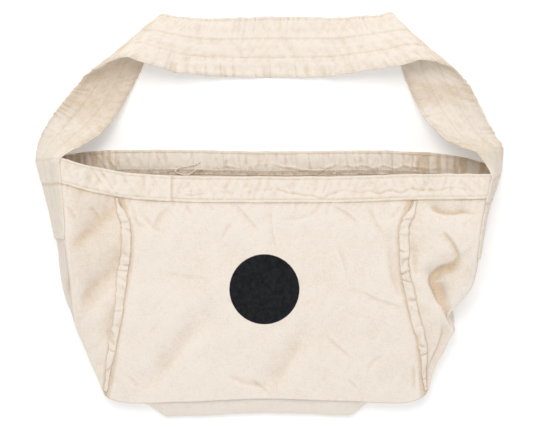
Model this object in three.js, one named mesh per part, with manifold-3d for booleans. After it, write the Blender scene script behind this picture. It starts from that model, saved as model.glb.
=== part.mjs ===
import * as THREE from 'three';
import Module from 'manifold-3d';

const manifold = await Module();
manifold.setup();

// A newspaper delivery bag of unbleached cotton canvas, lying flat on its back panel.
// It is a wide low tube of cloth, closed at the bottom, with a hem round its mouth, a gusset
// at each side, and a wide shoulder strap that is sewn down the outside of both gussets and
// rolls over itself at its two upper corners.
// Millimetres. X runs across the bag, Y from its bottom to its strap, Z up from the surface.

// Driving dimensions of the bag
const frontWidth = 440; // front panel between its two raised seams, at the mouth
const frontHeight = 335; // front panel from rim to bottom edge
const leftReach = 82; // left gusset from its front seam out to its upper crease
const rightReach = 111; // the same on the right, where the bag is pulled wider
const leftLean = 42; // how far the foot of the left side wall stands out from its crease
const rightLean = 21;
const seamLoft = 58; // height of the front seams at the mouth
const frontLoft = 45; // height of the middle of the front panel at the mouth
const backLead = 39; // how far the back rim reaches past the front rim
const backShort = 41; // how far the back panel stops short of the front's bottom edge
const bottomBulge = 23; // how far the bottom panel swells past the front's bottom edge

// Cloth
const clothThickness = 2;
const hemHeight = 37;
const hemThickness = 3.6;
const hemProud = 1; // outer face of the hem beyond the outer face of the panels
const seamWidth = 13; // raised front seams
const seamHeight = 6;
const gap = 0.3; // clearance between neighbouring pieces
const strapGap = 0.6; // the strap lies a little looser on the walls that it is sewn to

// Strap
const strapWidth = 90;
const strapThickness = 2.6;
const strapRise = 207; // top edge of the strap beyond the back rim
const rollHeight = 66; // height of the strap's loose rolls at its two upper corners
const sewnLeft = 122; // strap end below the rim, on the left gusset
const sewnRight = 131; // the same on the right
const wallHeight = strapWidth * 0.91; // the strap's width stands up in each side wall
const foldDepth = 6; // depth of the deepest fold in the cloth

const frontRim = 0; // Y of the front rim; the whole bag is centred at the end
const backRim = frontRim + backLead;
const bottomEdge = frontRim - frontHeight;
const halfSpan = (frontWidth + leftReach + rightReach + leftLean + rightLean) / 2;
const middle = (rightReach + rightLean - leftReach - leftLean) / 2; // centre of the span

// A table of named columns, as one record for each of its rows.
function table(columns, rows) {
  return rows.map((row) => Object.fromEntries(columns.map((column, index) => [column, row[index]])));
}

// Cross sections down the bag. "down" goes from 0 at the rim to 1 at the bottom edge. The other
// columns are shares: seams of half the front width, reaches, leans and heights of the
// lengths of those names.
const sectionColumns = [
  'down', 'seamL', 'seamR', 'reachL', 'reachR', 'leanL', 'leanR', 'wall', 'seam', 'front',
];
const sections = table(sectionColumns, [
  [0, 1.0, 0.97, 1.0, 1.0, 1.0, 1.0, 1.0, 1.0, 1.0],
  [0.115, 1.0, 0.964, 0.98, 0.96, 0.82, 0.78, 0.99, 0.98, 0.98],
  [0.24, 0.944, 0.905, 1.09, 1.01, 0.65, 0.6, 0.96, 0.95, 0.95],
  [0.36, 0.942, 0.906, 1.08, 0.97, 0.5, 0.5, 0.91, 0.9, 0.92],
  [0.52, 0.976, 0.938, 0.92, 0.84, 0.48, 0.3, 0.74, 0.83, 0.88],
  [0.65, 1.012, 0.99, 0.79, 0.5, 0.37, 0.25, 0.61, 0.76, 0.84],
  [0.73, 1.032, 1.024, 0.69, 0.43, 0.2, 0.2, 0.51, 0.69, 0.8],
  [0.82, 1.05, 1.042, 0.5, 0.31, 0.12, 0.2, 0.43, 0.62, 0.74],
  [0.91, 1.073, 1.048, 0.3, 0.17, 0.08, 0.15, 0.37, 0.53, 0.68],
  [1, 1.1, 1.06, 0.08, 0.08, 0.05, 0.1, 0.32, 0.46, 0.6],
]);

// The lines that run down the bag, in order round it. "lead" is how far the rim is past the
// front rim, as a share of the back's lead. "rise" is how far the line stops short of the
// front's bottom edge, as a share of the back's shortfall.
const lines = [
  { name: 'backMid', lead: 1.0, rise: 1.0 },
  { name: 'backLeft', lead: 1.05, rise: 1.0 },
  { name: 'underLeft', lead: 0.9, rise: 1.02 },
  { name: 'floorLeft', lead: 0.7, rise: 1.06 },
  { name: 'wallLeft', lead: 0.68, rise: 0.86 },
  { name: 'creaseLeft', lead: 0.68, rise: 0.56 },
  { name: 'gussetLeft', lead: 0.4, rise: 0.38 },
  { name: 'seamLeft', lead: 0.2, rise: 0.22 },
  { name: 'cornerLeft', lead: 0.13, rise: 0.0 },
  { name: 'frontLeft', lead: 0.02, rise: 0.0 },
  { name: 'frontMid', lead: 0.0, rise: 0.12 },
  { name: 'frontRight', lead: 0.01, rise: 0.02 },
  { name: 'cornerRight', lead: 0.08, rise: 0.0 },
  { name: 'seamRight', lead: 0.09, rise: 0.24 },
  { name: 'gussetRight', lead: 0.1, rise: 0.4 },
  { name: 'creaseRight', lead: 0.1, rise: 0.6 },
  { name: 'wallRight', lead: 0.22, rise: 0.84 },
  { name: 'floorRight', lead: 0.36, rise: 1.0 },
  { name: 'underRight', lead: 0.8, rise: 1.0 },
  { name: 'backRight', lead: 1.01, rise: 1.0 },
];
const lineAt = Object.fromEntries(lines.map((line, index) => [line.name, index]));

// Main folds of the upper side: from one point to another, across as a share of half the
// span and down the bag, with their width and depth as shares of the deepest fold's depth.
const folds = table(['x0', 'down0', 'x1', 'down1', 'width', 'depth'], [
  [-0.65, 0.14, -0.86, 0.38, 2.8, -0.9],
  [-0.64, 0.4, -0.81, 0.62, 2.6, -0.9],
  [0.7, 0.16, 0.85, 0.165, 1.8, -0.7],
  [0.78, 0.4, 0.69, 0.45, 2.2, -1.1],
  [0.69, 0.46, 0.72, 0.56, 2.0, -1.0],
  [-0.28, 0.64, -0.49, 0.9, 3.2, -0.8],
  [0.14, 0.72, 0.0, 0.93, 3.2, -0.7],
  [0.51, 0.3, 0.55, 0.52, 2.2, -0.5],
]);

// Nudges of the right gusset's edge, where it folds over to a tip. Each is centred on a line
// and a place down the bag, reaches over some lines and some of the way down, and moves the
// cloth across by some millimetres.
const nudges = table(['line', 'down', 'lines', 'reach', 'across'], [
  [15.4, 0.685, 1.3, 0.035, -5.0],
  [15.4, 0.745, 1.3, 0.028, 5.0],
]);

// The free strap, from the left gusset round to the right one. Its outer edge is given as x, a
// share of half the span, y, a share of the strap's rise beyond the back rim, and z, a share
// of the rolls' height. The other edge lies across, along and up from it, in strap widths.
const strapRows = table(['x', 'y', 'z', 'across', 'along', 'up'], [
  [-1.005, 0.03, 0.05, 0.63, -0.09, 0.82],
  [-0.98, 0.12, 0.09, 0.7, -0.22, 0.67],
  [-0.925, 0.27, 0.24, 0.78, -0.36, 0.29],
  [-0.855, 0.41, 0.48, 0.8, -0.28, -0.16],
  [-0.815, 0.48, 0.65, 0.92, 0.11, -0.45],
  [-0.785, 0.53, 0.79, 1.03, 0.52, -0.56],
  [-0.757, 0.565, 0.88, 1.03, 0.83, -0.63],
  [-0.718, 0.6, 0.96, 0.94, 0.89, -0.65],
  [-0.665, 0.64, 1.0, 0.83, 0.8, -0.63],
  [-0.612, 0.66, 0.97, 0.75, 0.72, -0.61],
  [-0.534, 0.62, 0.83, 0.62, 0.8, -0.51],
  [-0.407, 0.565, 0.52, 0.32, 0.91, -0.28],
  [-0.297, 0.545, 0.3, 0.11, 0.95, -0.13],
  [-0.153, 0.534, 0.14, 0.05, 0.99, -0.03],
  [0.009, 0.533, 0.08, 0.0, 1.01, 0.0],
  [0.171, 0.535, 0.13, -0.05, 1.0, -0.02],
  [0.29, 0.545, 0.28, -0.05, 0.96, -0.11],
  [0.416, 0.572, 0.52, -0.22, 0.92, -0.28],
  [0.552, 0.607, 0.82, -0.52, 0.85, -0.5],
  [0.63, 0.641, 0.97, -0.67, 0.78, -0.61],
  [0.671, 0.635, 1.0, -0.71, 0.82, -0.63],
  [0.714, 0.62, 0.97, -0.75, 0.88, -0.66],
  [0.761, 0.595, 0.89, -0.91, 0.85, -0.63],
  [0.792, 0.565, 0.8, -0.99, 0.63, -0.57],
  [0.824, 0.508, 0.67, -1.04, 0.31, -0.46],
  [0.863, 0.424, 0.48, -1.01, -0.01, -0.24],
  [0.915, 0.267, 0.24, -0.97, -0.11, 0.13],
  [0.965, 0.108, 0.09, -0.78, -0.14, 0.53],
  [0.995, 0.02, 0.05, -0.51, -0.1, 0.79],
]);

// Faces across and down the panels
const gussetCells = 20;
const frontCells = 18;
const panelRows = 13;

const mix = (a, b, t) => a + (b - a) * t;
const smooth = (a, b, x) => THREE.MathUtils.smoothstep(x, a, b);

// One column of the sections at any place down the bag, as a smooth cubic.
function sectionValue(column, down) {
  const last = sections.length - 1;
  let row = 0;
  while (row < last - 1 && sections[row + 1].down < down) row += 1;
  const slope = (index) => {
    const a = sections[Math.max(index - 1, 0)];
    const b = sections[Math.min(index + 1, last)];
    return (b[column] - a[column]) / (b.down - a.down);
  };
  const a = sections[row];
  const b = sections[row + 1];
  const span = b.down - a.down;
  const t = (down - a.down) / span;
  const bend = t * t * (3 - 2 * t);
  const lift = t * (1 - t) * span * ((1 - t) * slope(row) - t * slope(row + 1));
  return mix(a[column], b[column], bend) + lift;
}

// The loop of the cloth's outer face at one place down the bag, as a closed smooth curve
// with one control point on each line.
const loopCache = new Map();
function loopAt(down) {
  if (loopCache.has(down)) return loopCache.get(down);
  const value = (column) => sectionValue(column, down);
  const seamL = (-frontWidth / 2) * value('seamL');
  const seamR = (frontWidth / 2) * value('seamR');
  const creaseL = seamL - leftReach * value('reachL');
  const creaseR = seamR + rightReach * value('reachR');
  const floorL = creaseL - leftLean * value('leanL');
  const floorR = creaseR + rightLean * value('leanR');
  const wallZ = wallHeight * value('wall');
  const seamZ = seamLoft * value('seam');
  const frontZ = frontLoft * value('front');
  const backL = (-frontWidth / 2) * 1.03;
  const backR = (frontWidth / 2) * mix(0.9, 0.96, down);
  const nearSeamZ = mix(frontZ, seamZ, 0.8);
  const quarterZ = mix(frontZ, seamZ, 0.25);
  const place = {
    backMid: [0, 0],
    backLeft: [backL, 0],
    underLeft: [mix(backL, floorL, 0.6), 0],
    floorLeft: [floorL, 0],
    wallLeft: [mix(floorL, creaseL, 0.5), wallZ * 0.5],
    creaseLeft: [creaseL, wallZ],
    gussetLeft: [mix(creaseL, seamL, 0.5), mix(wallZ, seamZ, 0.55)],
    seamLeft: [seamL, seamZ],
    cornerLeft: [mix(seamL, seamR, 0.045), nearSeamZ],
    frontLeft: [mix(seamL, seamR, 0.24), quarterZ],
    frontMid: [mix(seamL, seamR, 0.5), frontZ],
    frontRight: [mix(seamL, seamR, 0.77), quarterZ],
    cornerRight: [mix(seamL, seamR, 0.955), nearSeamZ],
    seamRight: [seamR, seamZ],
    gussetRight: [mix(seamR, creaseR, 0.5), mix(seamZ, wallZ, 0.45)],
    creaseRight: [creaseR, wallZ],
    wallRight: [mix(creaseR, floorR, 0.5), wallZ * 0.5],
    floorRight: [floorR, 0],
    underRight: [mix(floorR, backR, 0.4), 0],
    backRight: [backR, 0],
  };
  const points = lines.map((line) => {
    const [x, z] = place[line.name];
    const rimY = frontRim + backLead * line.lead;
    const endY = bottomEdge + backShort * line.rise;
    return new THREE.Vector3(x, mix(rimY, endY, down), z);
  });
  const loop = new THREE.CatmullRomCurve3(points, true, 'centripetal');
  loopCache.set(down, loop);
  return loop;
}

// Height that the folds add or take away at a point of the upper side.
function foldHeight(point, down) {
  let height = 0;
  for (const fold of folds) {
    const start = new THREE.Vector2(fold.x0 * halfSpan + middle, fold.down0 * frontHeight);
    const end = new THREE.Vector2(fold.x1 * halfSpan + middle, fold.down1 * frontHeight);
    const here = new THREE.Vector2(point.x, down * frontHeight);
    const run = end.clone().sub(start);
    const share = THREE.MathUtils.clamp(here.clone().sub(start).dot(run) / run.lengthSq(), 0, 1);
    const away = here.distanceTo(start.addScaledVector(run, share)) / (fold.width * foldDepth);
    height += fold.depth * foldDepth * Math.exp(-away * away);
  }
  return height;
}

// A point of the cloth's outer face: "round" counts the lines, "down" goes rim to bottom.
function clothPoint(round, down) {
  const turn = ((round / lines.length) % 1 + 1) % 1;
  const point = loopAt(down).getPoint(turn);
  const fromLeft = smooth(lineAt.creaseLeft, lineAt.gussetLeft, round);
  const toRight = 1 - smooth(lineAt.gussetRight, lineAt.creaseRight, round);
  const upper = fromLeft * toRight;
  const inside = smooth(0.08, 0.18, down) * (1 - smooth(0.88, 0.98, down));
  if (upper > 0) point.z += upper * inside * foldHeight(point, down);
  for (const nudge of nudges) {
    const away = Math.hypot((round - nudge.line) / nudge.lines, (down - nudge.down) / nudge.reach);
    point.x += nudge.across * Math.exp(-away * away);
  }
  return point;
}

function normalOf(surface, a, b, step) {
  const alongA = surface(a + step, b).sub(surface(a - step, b));
  const alongB = surface(a, b + step).sub(surface(a, b - step));
  return alongB.cross(alongA).normalize();
}

// A point at a distance outside the cloth's outer face. Nothing goes below the surface
// that the bag lies on.
function clothOffset(round, down, distance) {
  const held = THREE.MathUtils.clamp(down, 0.002, 0.998);
  const normal = normalOf(clothPoint, round, held, 0.002);
  const point = clothPoint(round, down).addScaledVector(normal, distance);
  point.z = Math.max(point.z, Math.max(0, -distance));
  return point;
}

// A closed solid between two grids of points, the outer one first. A ring closes on itself
// in its first direction.
function solidBetween(outer, inner, ring = false) {
  const countA = outer.length;
  const countB = outer[0].length;
  const points = [...outer.flat(), ...inner.flat()];
  const layer = countA * countB;
  const at = (a, b, side) => side * layer + (a % countA) * countB + b;
  const faces = [];
  const quad = (p, q, r, s) => faces.push(p, q, r, p, r, s);
  const spanA = ring ? countA : countA - 1;
  for (let a = 0; a < spanA; a += 1) {
    for (let b = 0; b < countB - 1; b += 1) {
      quad(at(a, b, 0), at(a + 1, b, 0), at(a + 1, b + 1, 0), at(a, b + 1, 0));
      quad(at(a, b, 1), at(a, b + 1, 1), at(a + 1, b + 1, 1), at(a + 1, b, 1));
    }
    quad(at(a, 0, 0), at(a, 0, 1), at(a + 1, 0, 1), at(a + 1, 0, 0));
    const end = countB - 1;
    quad(at(a, end, 0), at(a + 1, end, 0), at(a + 1, end, 1), at(a, end, 1));
  }
  if (!ring) {
    const end = countA - 1;
    for (let b = 0; b < countB - 1; b += 1) {
      quad(at(0, b, 0), at(0, b + 1, 0), at(0, b + 1, 1), at(0, b, 1));
      quad(at(end, b, 0), at(end, b, 1), at(end, b + 1, 1), at(end, b + 1, 0));
    }
  }
  const geometry = new THREE.BufferGeometry().setFromPoints(points);
  geometry.setIndex(faces);
  if (volumeOf(geometry) < 0) {
    for (let face = 0; face < faces.length; face += 3) {
      [faces[face + 1], faces[face + 2]] = [faces[face + 2], faces[face + 1]];
    }
    geometry.setIndex(faces);
  }
  geometry.computeVertexNormals();
  return geometry;
}

function volumeOf(geometry) {
  const position = geometry.getAttribute('position');
  const index = geometry.getIndex();
  const [a, b, c] = [new THREE.Vector3(), new THREE.Vector3(), new THREE.Vector3()];
  let volume = 0;
  for (let face = 0; face < index.count; face += 3) {
    a.fromBufferAttribute(position, index.getX(face));
    b.fromBufferAttribute(position, index.getX(face + 1));
    c.fromBufferAttribute(position, index.getX(face + 2));
    volume += a.dot(b.cross(c)) / 6;
  }
  return volume;
}

// Length down the bag, and the share of it that a length takes, on one line.
function downShare(round, length) {
  const nearly = clothPoint(round, 0.02).distanceTo(clothPoint(round, 0.98));
  return (length / nearly) * 0.96;
}

// How far round a short length goes at a point.
function roundStep(round, down, length) {
  const step = 0.01;
  const travelled = clothPoint(round + step, down).distanceTo(clothPoint(round - step, down));
  return (length * 2 * step) / travelled;
}

// A cloth panel between two lines, from under the hem to the bottom edge. A margin makes it
// larger all round, as the space that its neighbours keep clear of.
function panel(from, to, cells, rows, margin = 0) {
  const outer = [];
  const inner = [];
  for (let a = 0; a <= cells; a += 1) {
    const sideways = a / cells;
    const inset = gap / 2 - margin;
    const edge = sideways === 0 ? inset : sideways === 1 ? -inset : 0;
    const top = downShare(mix(from, to, sideways), hemHeight + gap);
    const end = 1 + margin / frontHeight;
    const outerColumn = [];
    const innerColumn = [];
    for (let b = 0; b <= rows; b += 1) {
      const down = mix(top, end, b / rows);
      const line = mix(from, to, sideways);
      const round = line + roundStep(line, down, edge);
      outerColumn.push(clothOffset(round, down, margin));
      innerColumn.push(clothOffset(round, down, -clothThickness - margin));
    }
    outer.push(outerColumn);
    inner.push(innerColumn);
  }
  return solidBetween(outer, inner);
}

// The doubled band of cloth round the mouth, with a margin as the panels have.
function mouthHem(margin = 0) {
  const perLine = 4;
  const rows = 2;
  const outer = [];
  const inner = [];
  for (let a = 0; a < lines.length * perLine; a += 1) {
    const round = a / perLine;
    const height = downShare(round, hemHeight + 2 * margin);
    const above = downShare(round, margin);
    const depths = Array.from({ length: rows + 1 }, (_, b) => (height * b) / rows - above);
    outer.push(depths.map((down) => clothOffset(round, down, hemProud + margin)));
    inner.push(depths.map((down) => clothOffset(round, down, hemProud - hemThickness - margin)));
  }
  return solidBetween(outer, inner, true);
}

// A raised seam that stands along one of the front panel's side lines.
function raisedSeam(line) {
  const rows = 16;
  const profile = [
    { side: -0.5, height: 0.3 },
    { side: -0.35, height: 0.85 },
    { side: 0, height: 1 },
    { side: 0.35, height: 0.85 },
    { side: 0.5, height: 0.3 },
  ];
  const start = downShare(line, hemHeight + 2 * gap + hemProud);
  const outer = profile.map(() => []);
  const inner = profile.map(() => []);
  for (let b = 0; b <= rows; b += 1) {
    const down = mix(start, 0.975, b / rows);
    profile.forEach((point, a) => {
      const round = line + roundStep(line, down, seamWidth * point.side);
      outer[a].push(clothOffset(round, down, gap + seamHeight * point.height));
      inner[a].push(clothOffset(round, down, -gap));
    });
  }
  return cutClear(solidBetween(outer, inner), [gussetSpace(line), frontSpace()]);
}

// The bottom panel hangs from the bottom edge of the front and gussets, swells past it, and
// runs back under the bag to the back panel. The swell is between two shares of the front.
const swellStart = [0.11, 0.2];
const swellEnd = [0.76, 0.84];
function bottomPoint(round, back) {
  const edge = clothOffset(round, 1, -clothThickness - gap);
  const share = (round - lineAt.floorLeft) / (lineAt.floorRight - lineAt.floorLeft);
  const seamX = (side) => clothPoint(lineAt[side], 1).x;
  const acrossFront = (edge.x - seamX('seamLeft')) / (seamX('seamRight') - seamX('seamLeft'));
  const swell = smooth(...swellStart, acrossFront) * (1 - smooth(...swellEnd, acrossFront));
  const stop = clothPoint(mix(lineAt.backLeft, lineAt.backRight - lines.length, share), 1);
  const foot = new THREE.Vector3(mix(edge.x, stop.x, 0.15), mix(edge.y, stop.y, 0.12), 0);
  const belly = new THREE.Vector3(edge.x, edge.y, edge.z * 0.36);
  belly.y -= bottomBulge * swell;
  foot.y -= bottomBulge * swell * 0.75;
  const top = edge.clone();
  top.y -= gap;
  const end = new THREE.Vector3(stop.x, stop.y - gap, 0);
  const curve = new THREE.CatmullRomCurve3([top, belly, foot, end], false, 'centripetal');
  const point = curve.getPoint(THREE.MathUtils.clamp(back, 0, 1));
  point.z = Math.max(point.z, 0);
  return point;
}

function bottomPanel() {
  const cells = 30;
  const rows = 6;
  const outer = [];
  const inner = [];
  for (let a = 0; a <= cells; a += 1) {
    const round = mix(lineAt.floorLeft + 0.5, lineAt.floorRight - 0.5, a / cells);
    const outerColumn = [];
    const innerColumn = [];
    for (let b = 0; b <= rows; b += 1) {
      const back = b / rows;
      const held = THREE.MathUtils.clamp(back, 0.02, 0.98);
      const normal = normalOf(bottomPoint, round, held, 0.01);
      const point = bottomPoint(round, back);
      const inside = point.clone().addScaledVector(normal, -clothThickness);
      inside.z = Math.max(inside.z, clothThickness * back);
      outerColumn.push(point);
      innerColumn.push(inside);
    }
    outer.push(outerColumn);
    inner.push(innerColumn);
  }
  const spaces = [gussetSpace(lineAt.seamLeft), gussetSpace(lineAt.seamRight), frontSpace()];
  return cutClear(solidBetween(outer, inner), spaces);
}

// The space that a gusset or the front panel takes up, with the clearance round it.
function gussetSpace(seam) {
  const [from, to] = seam === lineAt.seamLeft ? [lineAt.backLeft, seam] : [seam, lineAt.backRight];
  return panel(from, to, gussetCells, panelRows, gap);
}

const frontSpace = () => panel(lineAt.seamLeft, lineAt.seamRight, frontCells, panelRows, gap);

// A piece cut so that it keeps clear of the spaces of its neighbours.
function cutClear(piece, spaces) {
  const cut = spaces.reduce((solid, space) => solid.subtract(toSolid(space)), toSolid(piece));
  return largestOf(cut);
}

// A closed mesh as a solid that can be cut, and back again.
function toSolid(geometry) {
  const vertProperties = new Float32Array(geometry.getAttribute('position').array);
  const triVerts = new Uint32Array(geometry.getIndex().array);
  const mesh = new manifold.Mesh({ numProp: 3, vertProperties, triVerts });
  return new manifold.Manifold(mesh);
}

// A cut can leave slivers beside a piece, so only its largest body is kept.
function largestOf(solid) {
  const bodies = solid.decompose();
  bodies.sort((a, b) => b.volume() - a.volume());
  const mesh = bodies[0].getMesh();
  const geometry = new THREE.BufferGeometry();
  geometry.setAttribute('position', new THREE.BufferAttribute(mesh.vertProperties, 3));
  geometry.setIndex(new THREE.BufferAttribute(mesh.triVerts, 1));
  geometry.computeVertexNormals();
  return geometry;
}

// One row of points across the strap where it is sewn to a side wall.
function sewnRow(floorLine, creaseLine, below, across) {
  const overHem = 1 - smooth(hemHeight, hemHeight + 4, below);
  const distance = strapGap + strapThickness / 2 + hemProud * overHem;
  const line = mix(floorLine, creaseLine, mix(0.06, 0.99, across));
  return clothOffset(line, downShare(line, below), distance);
}

// One row of points across the free strap.
function freeRow(row, across) {
  const outerEdge = new THREE.Vector3(
    middle + halfSpan * row.x,
    backRim + strapRise * row.y,
    rollHeight * row.z,
  );
  const ruling = new THREE.Vector3(row.across, row.along, row.up).multiplyScalar(strapWidth);
  return outerEdge.addScaledVector(ruling, across);
}

// The middle face of the whole strap: "across" from its outer edge to its inner one, "along"
// from 0 at its left end to 1 at its right end.
const sewnDepths = [1, 0.8, 0.6, 0.42, 0.335, 0.28, 0.14, 0.02];
const strapCurves = new Map();
function strapPoint(across, along) {
  const key = Math.round(across * 1e6);
  if (!strapCurves.has(key)) {
    const sewn = (floorLine, creaseLine, length) => sewnDepths.map(
      (share) => sewnRow(floorLine, creaseLine, length * share, across),
    );
    const left = sewn(lineAt.floorLeft, lineAt.creaseLeft, sewnLeft);
    const right = sewn(lineAt.floorRight, lineAt.creaseRight, sewnRight);
    const free = strapRows.map((row) => freeRow(row, across));
    const points = [...left, ...free, ...right.reverse()];
    strapCurves.set(key, new THREE.CatmullRomCurve3(points, false, 'centripetal'));
  }
  return strapCurves.get(key).getPoint(THREE.MathUtils.clamp(along, 0, 1));
}

function shoulderStrap() {
  const cells = 5;
  const rows = 84;
  const outer = [];
  const inner = [];
  for (let a = 0; a <= cells; a += 1) {
    const outerColumn = [];
    const innerColumn = [];
    for (let b = 0; b <= rows; b += 1) {
      const across = a / cells;
      const along = b / rows;
      const heldAcross = THREE.MathUtils.clamp(across, 0.01, 0.99);
      const heldAlong = THREE.MathUtils.clamp(along, 0.002, 0.998);
      const normal = normalOf(strapPoint, heldAcross, heldAlong, 0.002);
      const point = strapPoint(across, along);
      const up = point.clone().addScaledVector(normal, strapThickness / 2);
      const under = point.clone().addScaledVector(normal, -strapThickness / 2);
      up.z = Math.max(up.z, 0);
      under.z = Math.max(under.z, 0);
      outerColumn.push(up);
      innerColumn.push(under);
    }
    outer.push(outerColumn);
    inner.push(innerColumn);
  }
  const spaces = [gussetSpace(lineAt.seamLeft), gussetSpace(lineAt.seamRight), mouthHem(gap)];
  return cutClear(solidBetween(outer, inner), spaces);
}

// Colours
const canvas = { color: 0xe9dcc6, roughness: 0.95, metalness: 0 };
const canvasDouble = { color: 0xe6d8c0, roughness: 0.95, metalness: 0 };
const canvasStrap = { color: 0xe3d5bc, roughness: 0.95, metalness: 0 };

const bag = new THREE.Group();

function add(name, geometry, finish) {
  const mesh = new THREE.Mesh(geometry, new THREE.MeshStandardMaterial(finish));
  mesh.name = name;
  bag.add(mesh);
  return mesh;
}

add('back_panel', panel(lineAt.backRight - lines.length, lineAt.backLeft, 4, 4), canvas);
add('left_gusset', panel(lineAt.backLeft, lineAt.seamLeft, gussetCells, panelRows), canvas);
add('front_panel', panel(lineAt.seamLeft, lineAt.seamRight, frontCells, panelRows), canvas);
add('right_gusset', panel(lineAt.seamRight, lineAt.backRight, gussetCells, panelRows), canvas);
add('bottom_panel', bottomPanel(), canvas);
add('mouth_hem', mouthHem(), canvasDouble);
add('front_left_seam', raisedSeam(lineAt.seamLeft), canvasDouble);
add('front_right_seam', raisedSeam(lineAt.seamRight), canvasDouble);
add('shoulder_strap', shoulderStrap(), canvasStrap);

// The origin is the middle of the bag's outline, on the surface that it lies on.
const bounds = new THREE.Box3().setFromObject(bag);
const centre = bounds.getCenter(new THREE.Vector3());
bag.position.set(-centre.x, -centre.y, -bounds.min.z);
bag.updateMatrixWorld(true);

export default bag;
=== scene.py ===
import math

import bpy
import numpy as np
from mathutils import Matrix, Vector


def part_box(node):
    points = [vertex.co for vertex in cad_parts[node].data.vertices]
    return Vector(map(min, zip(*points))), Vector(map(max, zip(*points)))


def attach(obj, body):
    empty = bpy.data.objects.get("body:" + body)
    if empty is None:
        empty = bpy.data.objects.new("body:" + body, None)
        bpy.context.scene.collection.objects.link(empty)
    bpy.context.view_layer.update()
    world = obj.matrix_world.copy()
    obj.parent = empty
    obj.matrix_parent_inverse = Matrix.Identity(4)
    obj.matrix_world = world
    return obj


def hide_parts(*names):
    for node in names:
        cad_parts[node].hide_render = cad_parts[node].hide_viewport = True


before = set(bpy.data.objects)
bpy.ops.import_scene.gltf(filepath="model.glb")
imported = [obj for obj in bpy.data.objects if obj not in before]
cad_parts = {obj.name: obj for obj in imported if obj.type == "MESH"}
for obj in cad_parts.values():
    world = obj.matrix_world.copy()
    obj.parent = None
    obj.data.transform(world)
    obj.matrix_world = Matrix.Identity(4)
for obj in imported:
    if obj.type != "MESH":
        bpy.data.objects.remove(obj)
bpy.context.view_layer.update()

# A newspaper delivery bag of unbleached cotton canvas, lying flat on its back panel.
# Every cloth piece is a fine sheet laid over the solid that it replaces. Lengths are in
# millimetres up to the last step, which writes meshes in metres.

MM = 0.001

# Driving sizes of the bag, as in its solids
FRONT_WIDTH = 440.0
FRONT_HEIGHT = 335.0
LEFT_REACH = 82.0
RIGHT_REACH = 111.0
LEFT_LEAN = 42.0
RIGHT_LEAN = 21.0
SEAM_LOFT = 58.0
FRONT_LOFT = 45.0
BACK_LEAD = 39.0
BACK_SHORT = 41.0
BOTTOM_BULGE = 23.0
CLOTH = 2.0
HEM_HEIGHT = 37.0
HEM_THICKNESS = 3.6
HEM_PROUD = 1.0
SEAM_WIDTH = 13.0
SEAM_HEIGHT = 6.0
GAP = 0.3
STRAP_GAP = 0.6
STRAP_WIDTH = 90.0
STRAP_THICKNESS = 2.6
STRAP_RISE = 207.0
ROLL_HEIGHT = 66.0
SEWN_LEFT = 122.0
SEWN_RIGHT = 131.0
WALL_HEIGHT = STRAP_WIDTH * 0.91
FOLD_DEPTH = 6.0
HALF_SPAN = (FRONT_WIDTH + LEFT_REACH + RIGHT_REACH + LEFT_LEAN + RIGHT_LEAN) / 2
MIDDLE = (RIGHT_REACH + RIGHT_LEAN - LEFT_REACH - LEFT_LEAN) / 2

# The bag's own axes start at the middle of the front rim. The back panel's top left corner
# in the frame tells where that is.
BACK_LEFT_X = -FRONT_WIDTH / 2 * 1.03
RIM_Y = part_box("mouth_hem")[1].y / MM - BACK_LEAD * 1.065
RIM_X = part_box("back_panel")[0].x / MM - BACK_LEFT_X - GAP / 2
ORIGIN = np.array([RIM_X, RIM_Y, 0.0])

# Cross sections down the bag, from the rim to the bottom edge
SECTION_COLUMNS = (
    "down", "seam_l", "seam_r", "reach_l", "reach_r", "lean_l", "lean_r", "wall", "seam", "front",
)
SECTIONS = np.array([
    (0.0, 1.0, 0.97, 1.0, 1.0, 1.0, 1.0, 1.0, 1.0, 1.0),
    (0.115, 1.0, 0.964, 0.98, 0.96, 0.82, 0.78, 0.99, 0.98, 0.98),
    (0.24, 0.944, 0.905, 1.09, 1.01, 0.65, 0.6, 0.96, 0.95, 0.95),
    (0.36, 0.942, 0.906, 1.08, 0.97, 0.5, 0.5, 0.91, 0.9, 0.92),
    (0.52, 0.976, 0.938, 0.92, 0.84, 0.48, 0.3, 0.74, 0.83, 0.88),
    (0.65, 1.012, 0.99, 0.79, 0.5, 0.37, 0.25, 0.61, 0.76, 0.84),
    (0.73, 1.032, 1.024, 0.69, 0.43, 0.2, 0.2, 0.51, 0.69, 0.8),
    (0.82, 1.05, 1.042, 0.5, 0.31, 0.12, 0.2, 0.43, 0.62, 0.74),
    (0.91, 1.073, 1.048, 0.3, 0.17, 0.08, 0.15, 0.37, 0.53, 0.68),
    (1.0, 1.1, 1.06, 0.08, 0.08, 0.05, 0.1, 0.32, 0.46, 0.6),
])

# Lines that run down the bag, in order round it: how far each one's rim leads the front rim,
# and how far it stops short of the bottom edge, as shares of the back's lead and shortfall
LINE_NAMES = (
    "back_mid", "back_left", "under_left", "floor_left", "wall_left", "crease_left",
    "gusset_left", "seam_left", "corner_left", "front_left", "front_mid", "front_right",
    "corner_right", "seam_right", "gusset_right", "crease_right", "wall_right",
    "floor_right", "under_right", "back_right",
)
LINE = {name: number for number, name in enumerate(LINE_NAMES)}
LINES = len(LINE_NAMES)
LEAD = np.array([
    1.0, 1.05, 0.9, 0.7, 0.68, 0.68, 0.4, 0.2, 0.13, 0.02,
    0.0, 0.01, 0.08, 0.09, 0.1, 0.1, 0.22, 0.36, 0.8, 1.01,
])
RISE = np.array([
    1.0, 1.0, 1.02, 1.06, 0.86, 0.56, 0.38, 0.22, 0.0, 0.0,
    0.12, 0.02, 0.0, 0.24, 0.4, 0.6, 0.84, 1.0, 1.0, 1.0,
])

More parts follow.
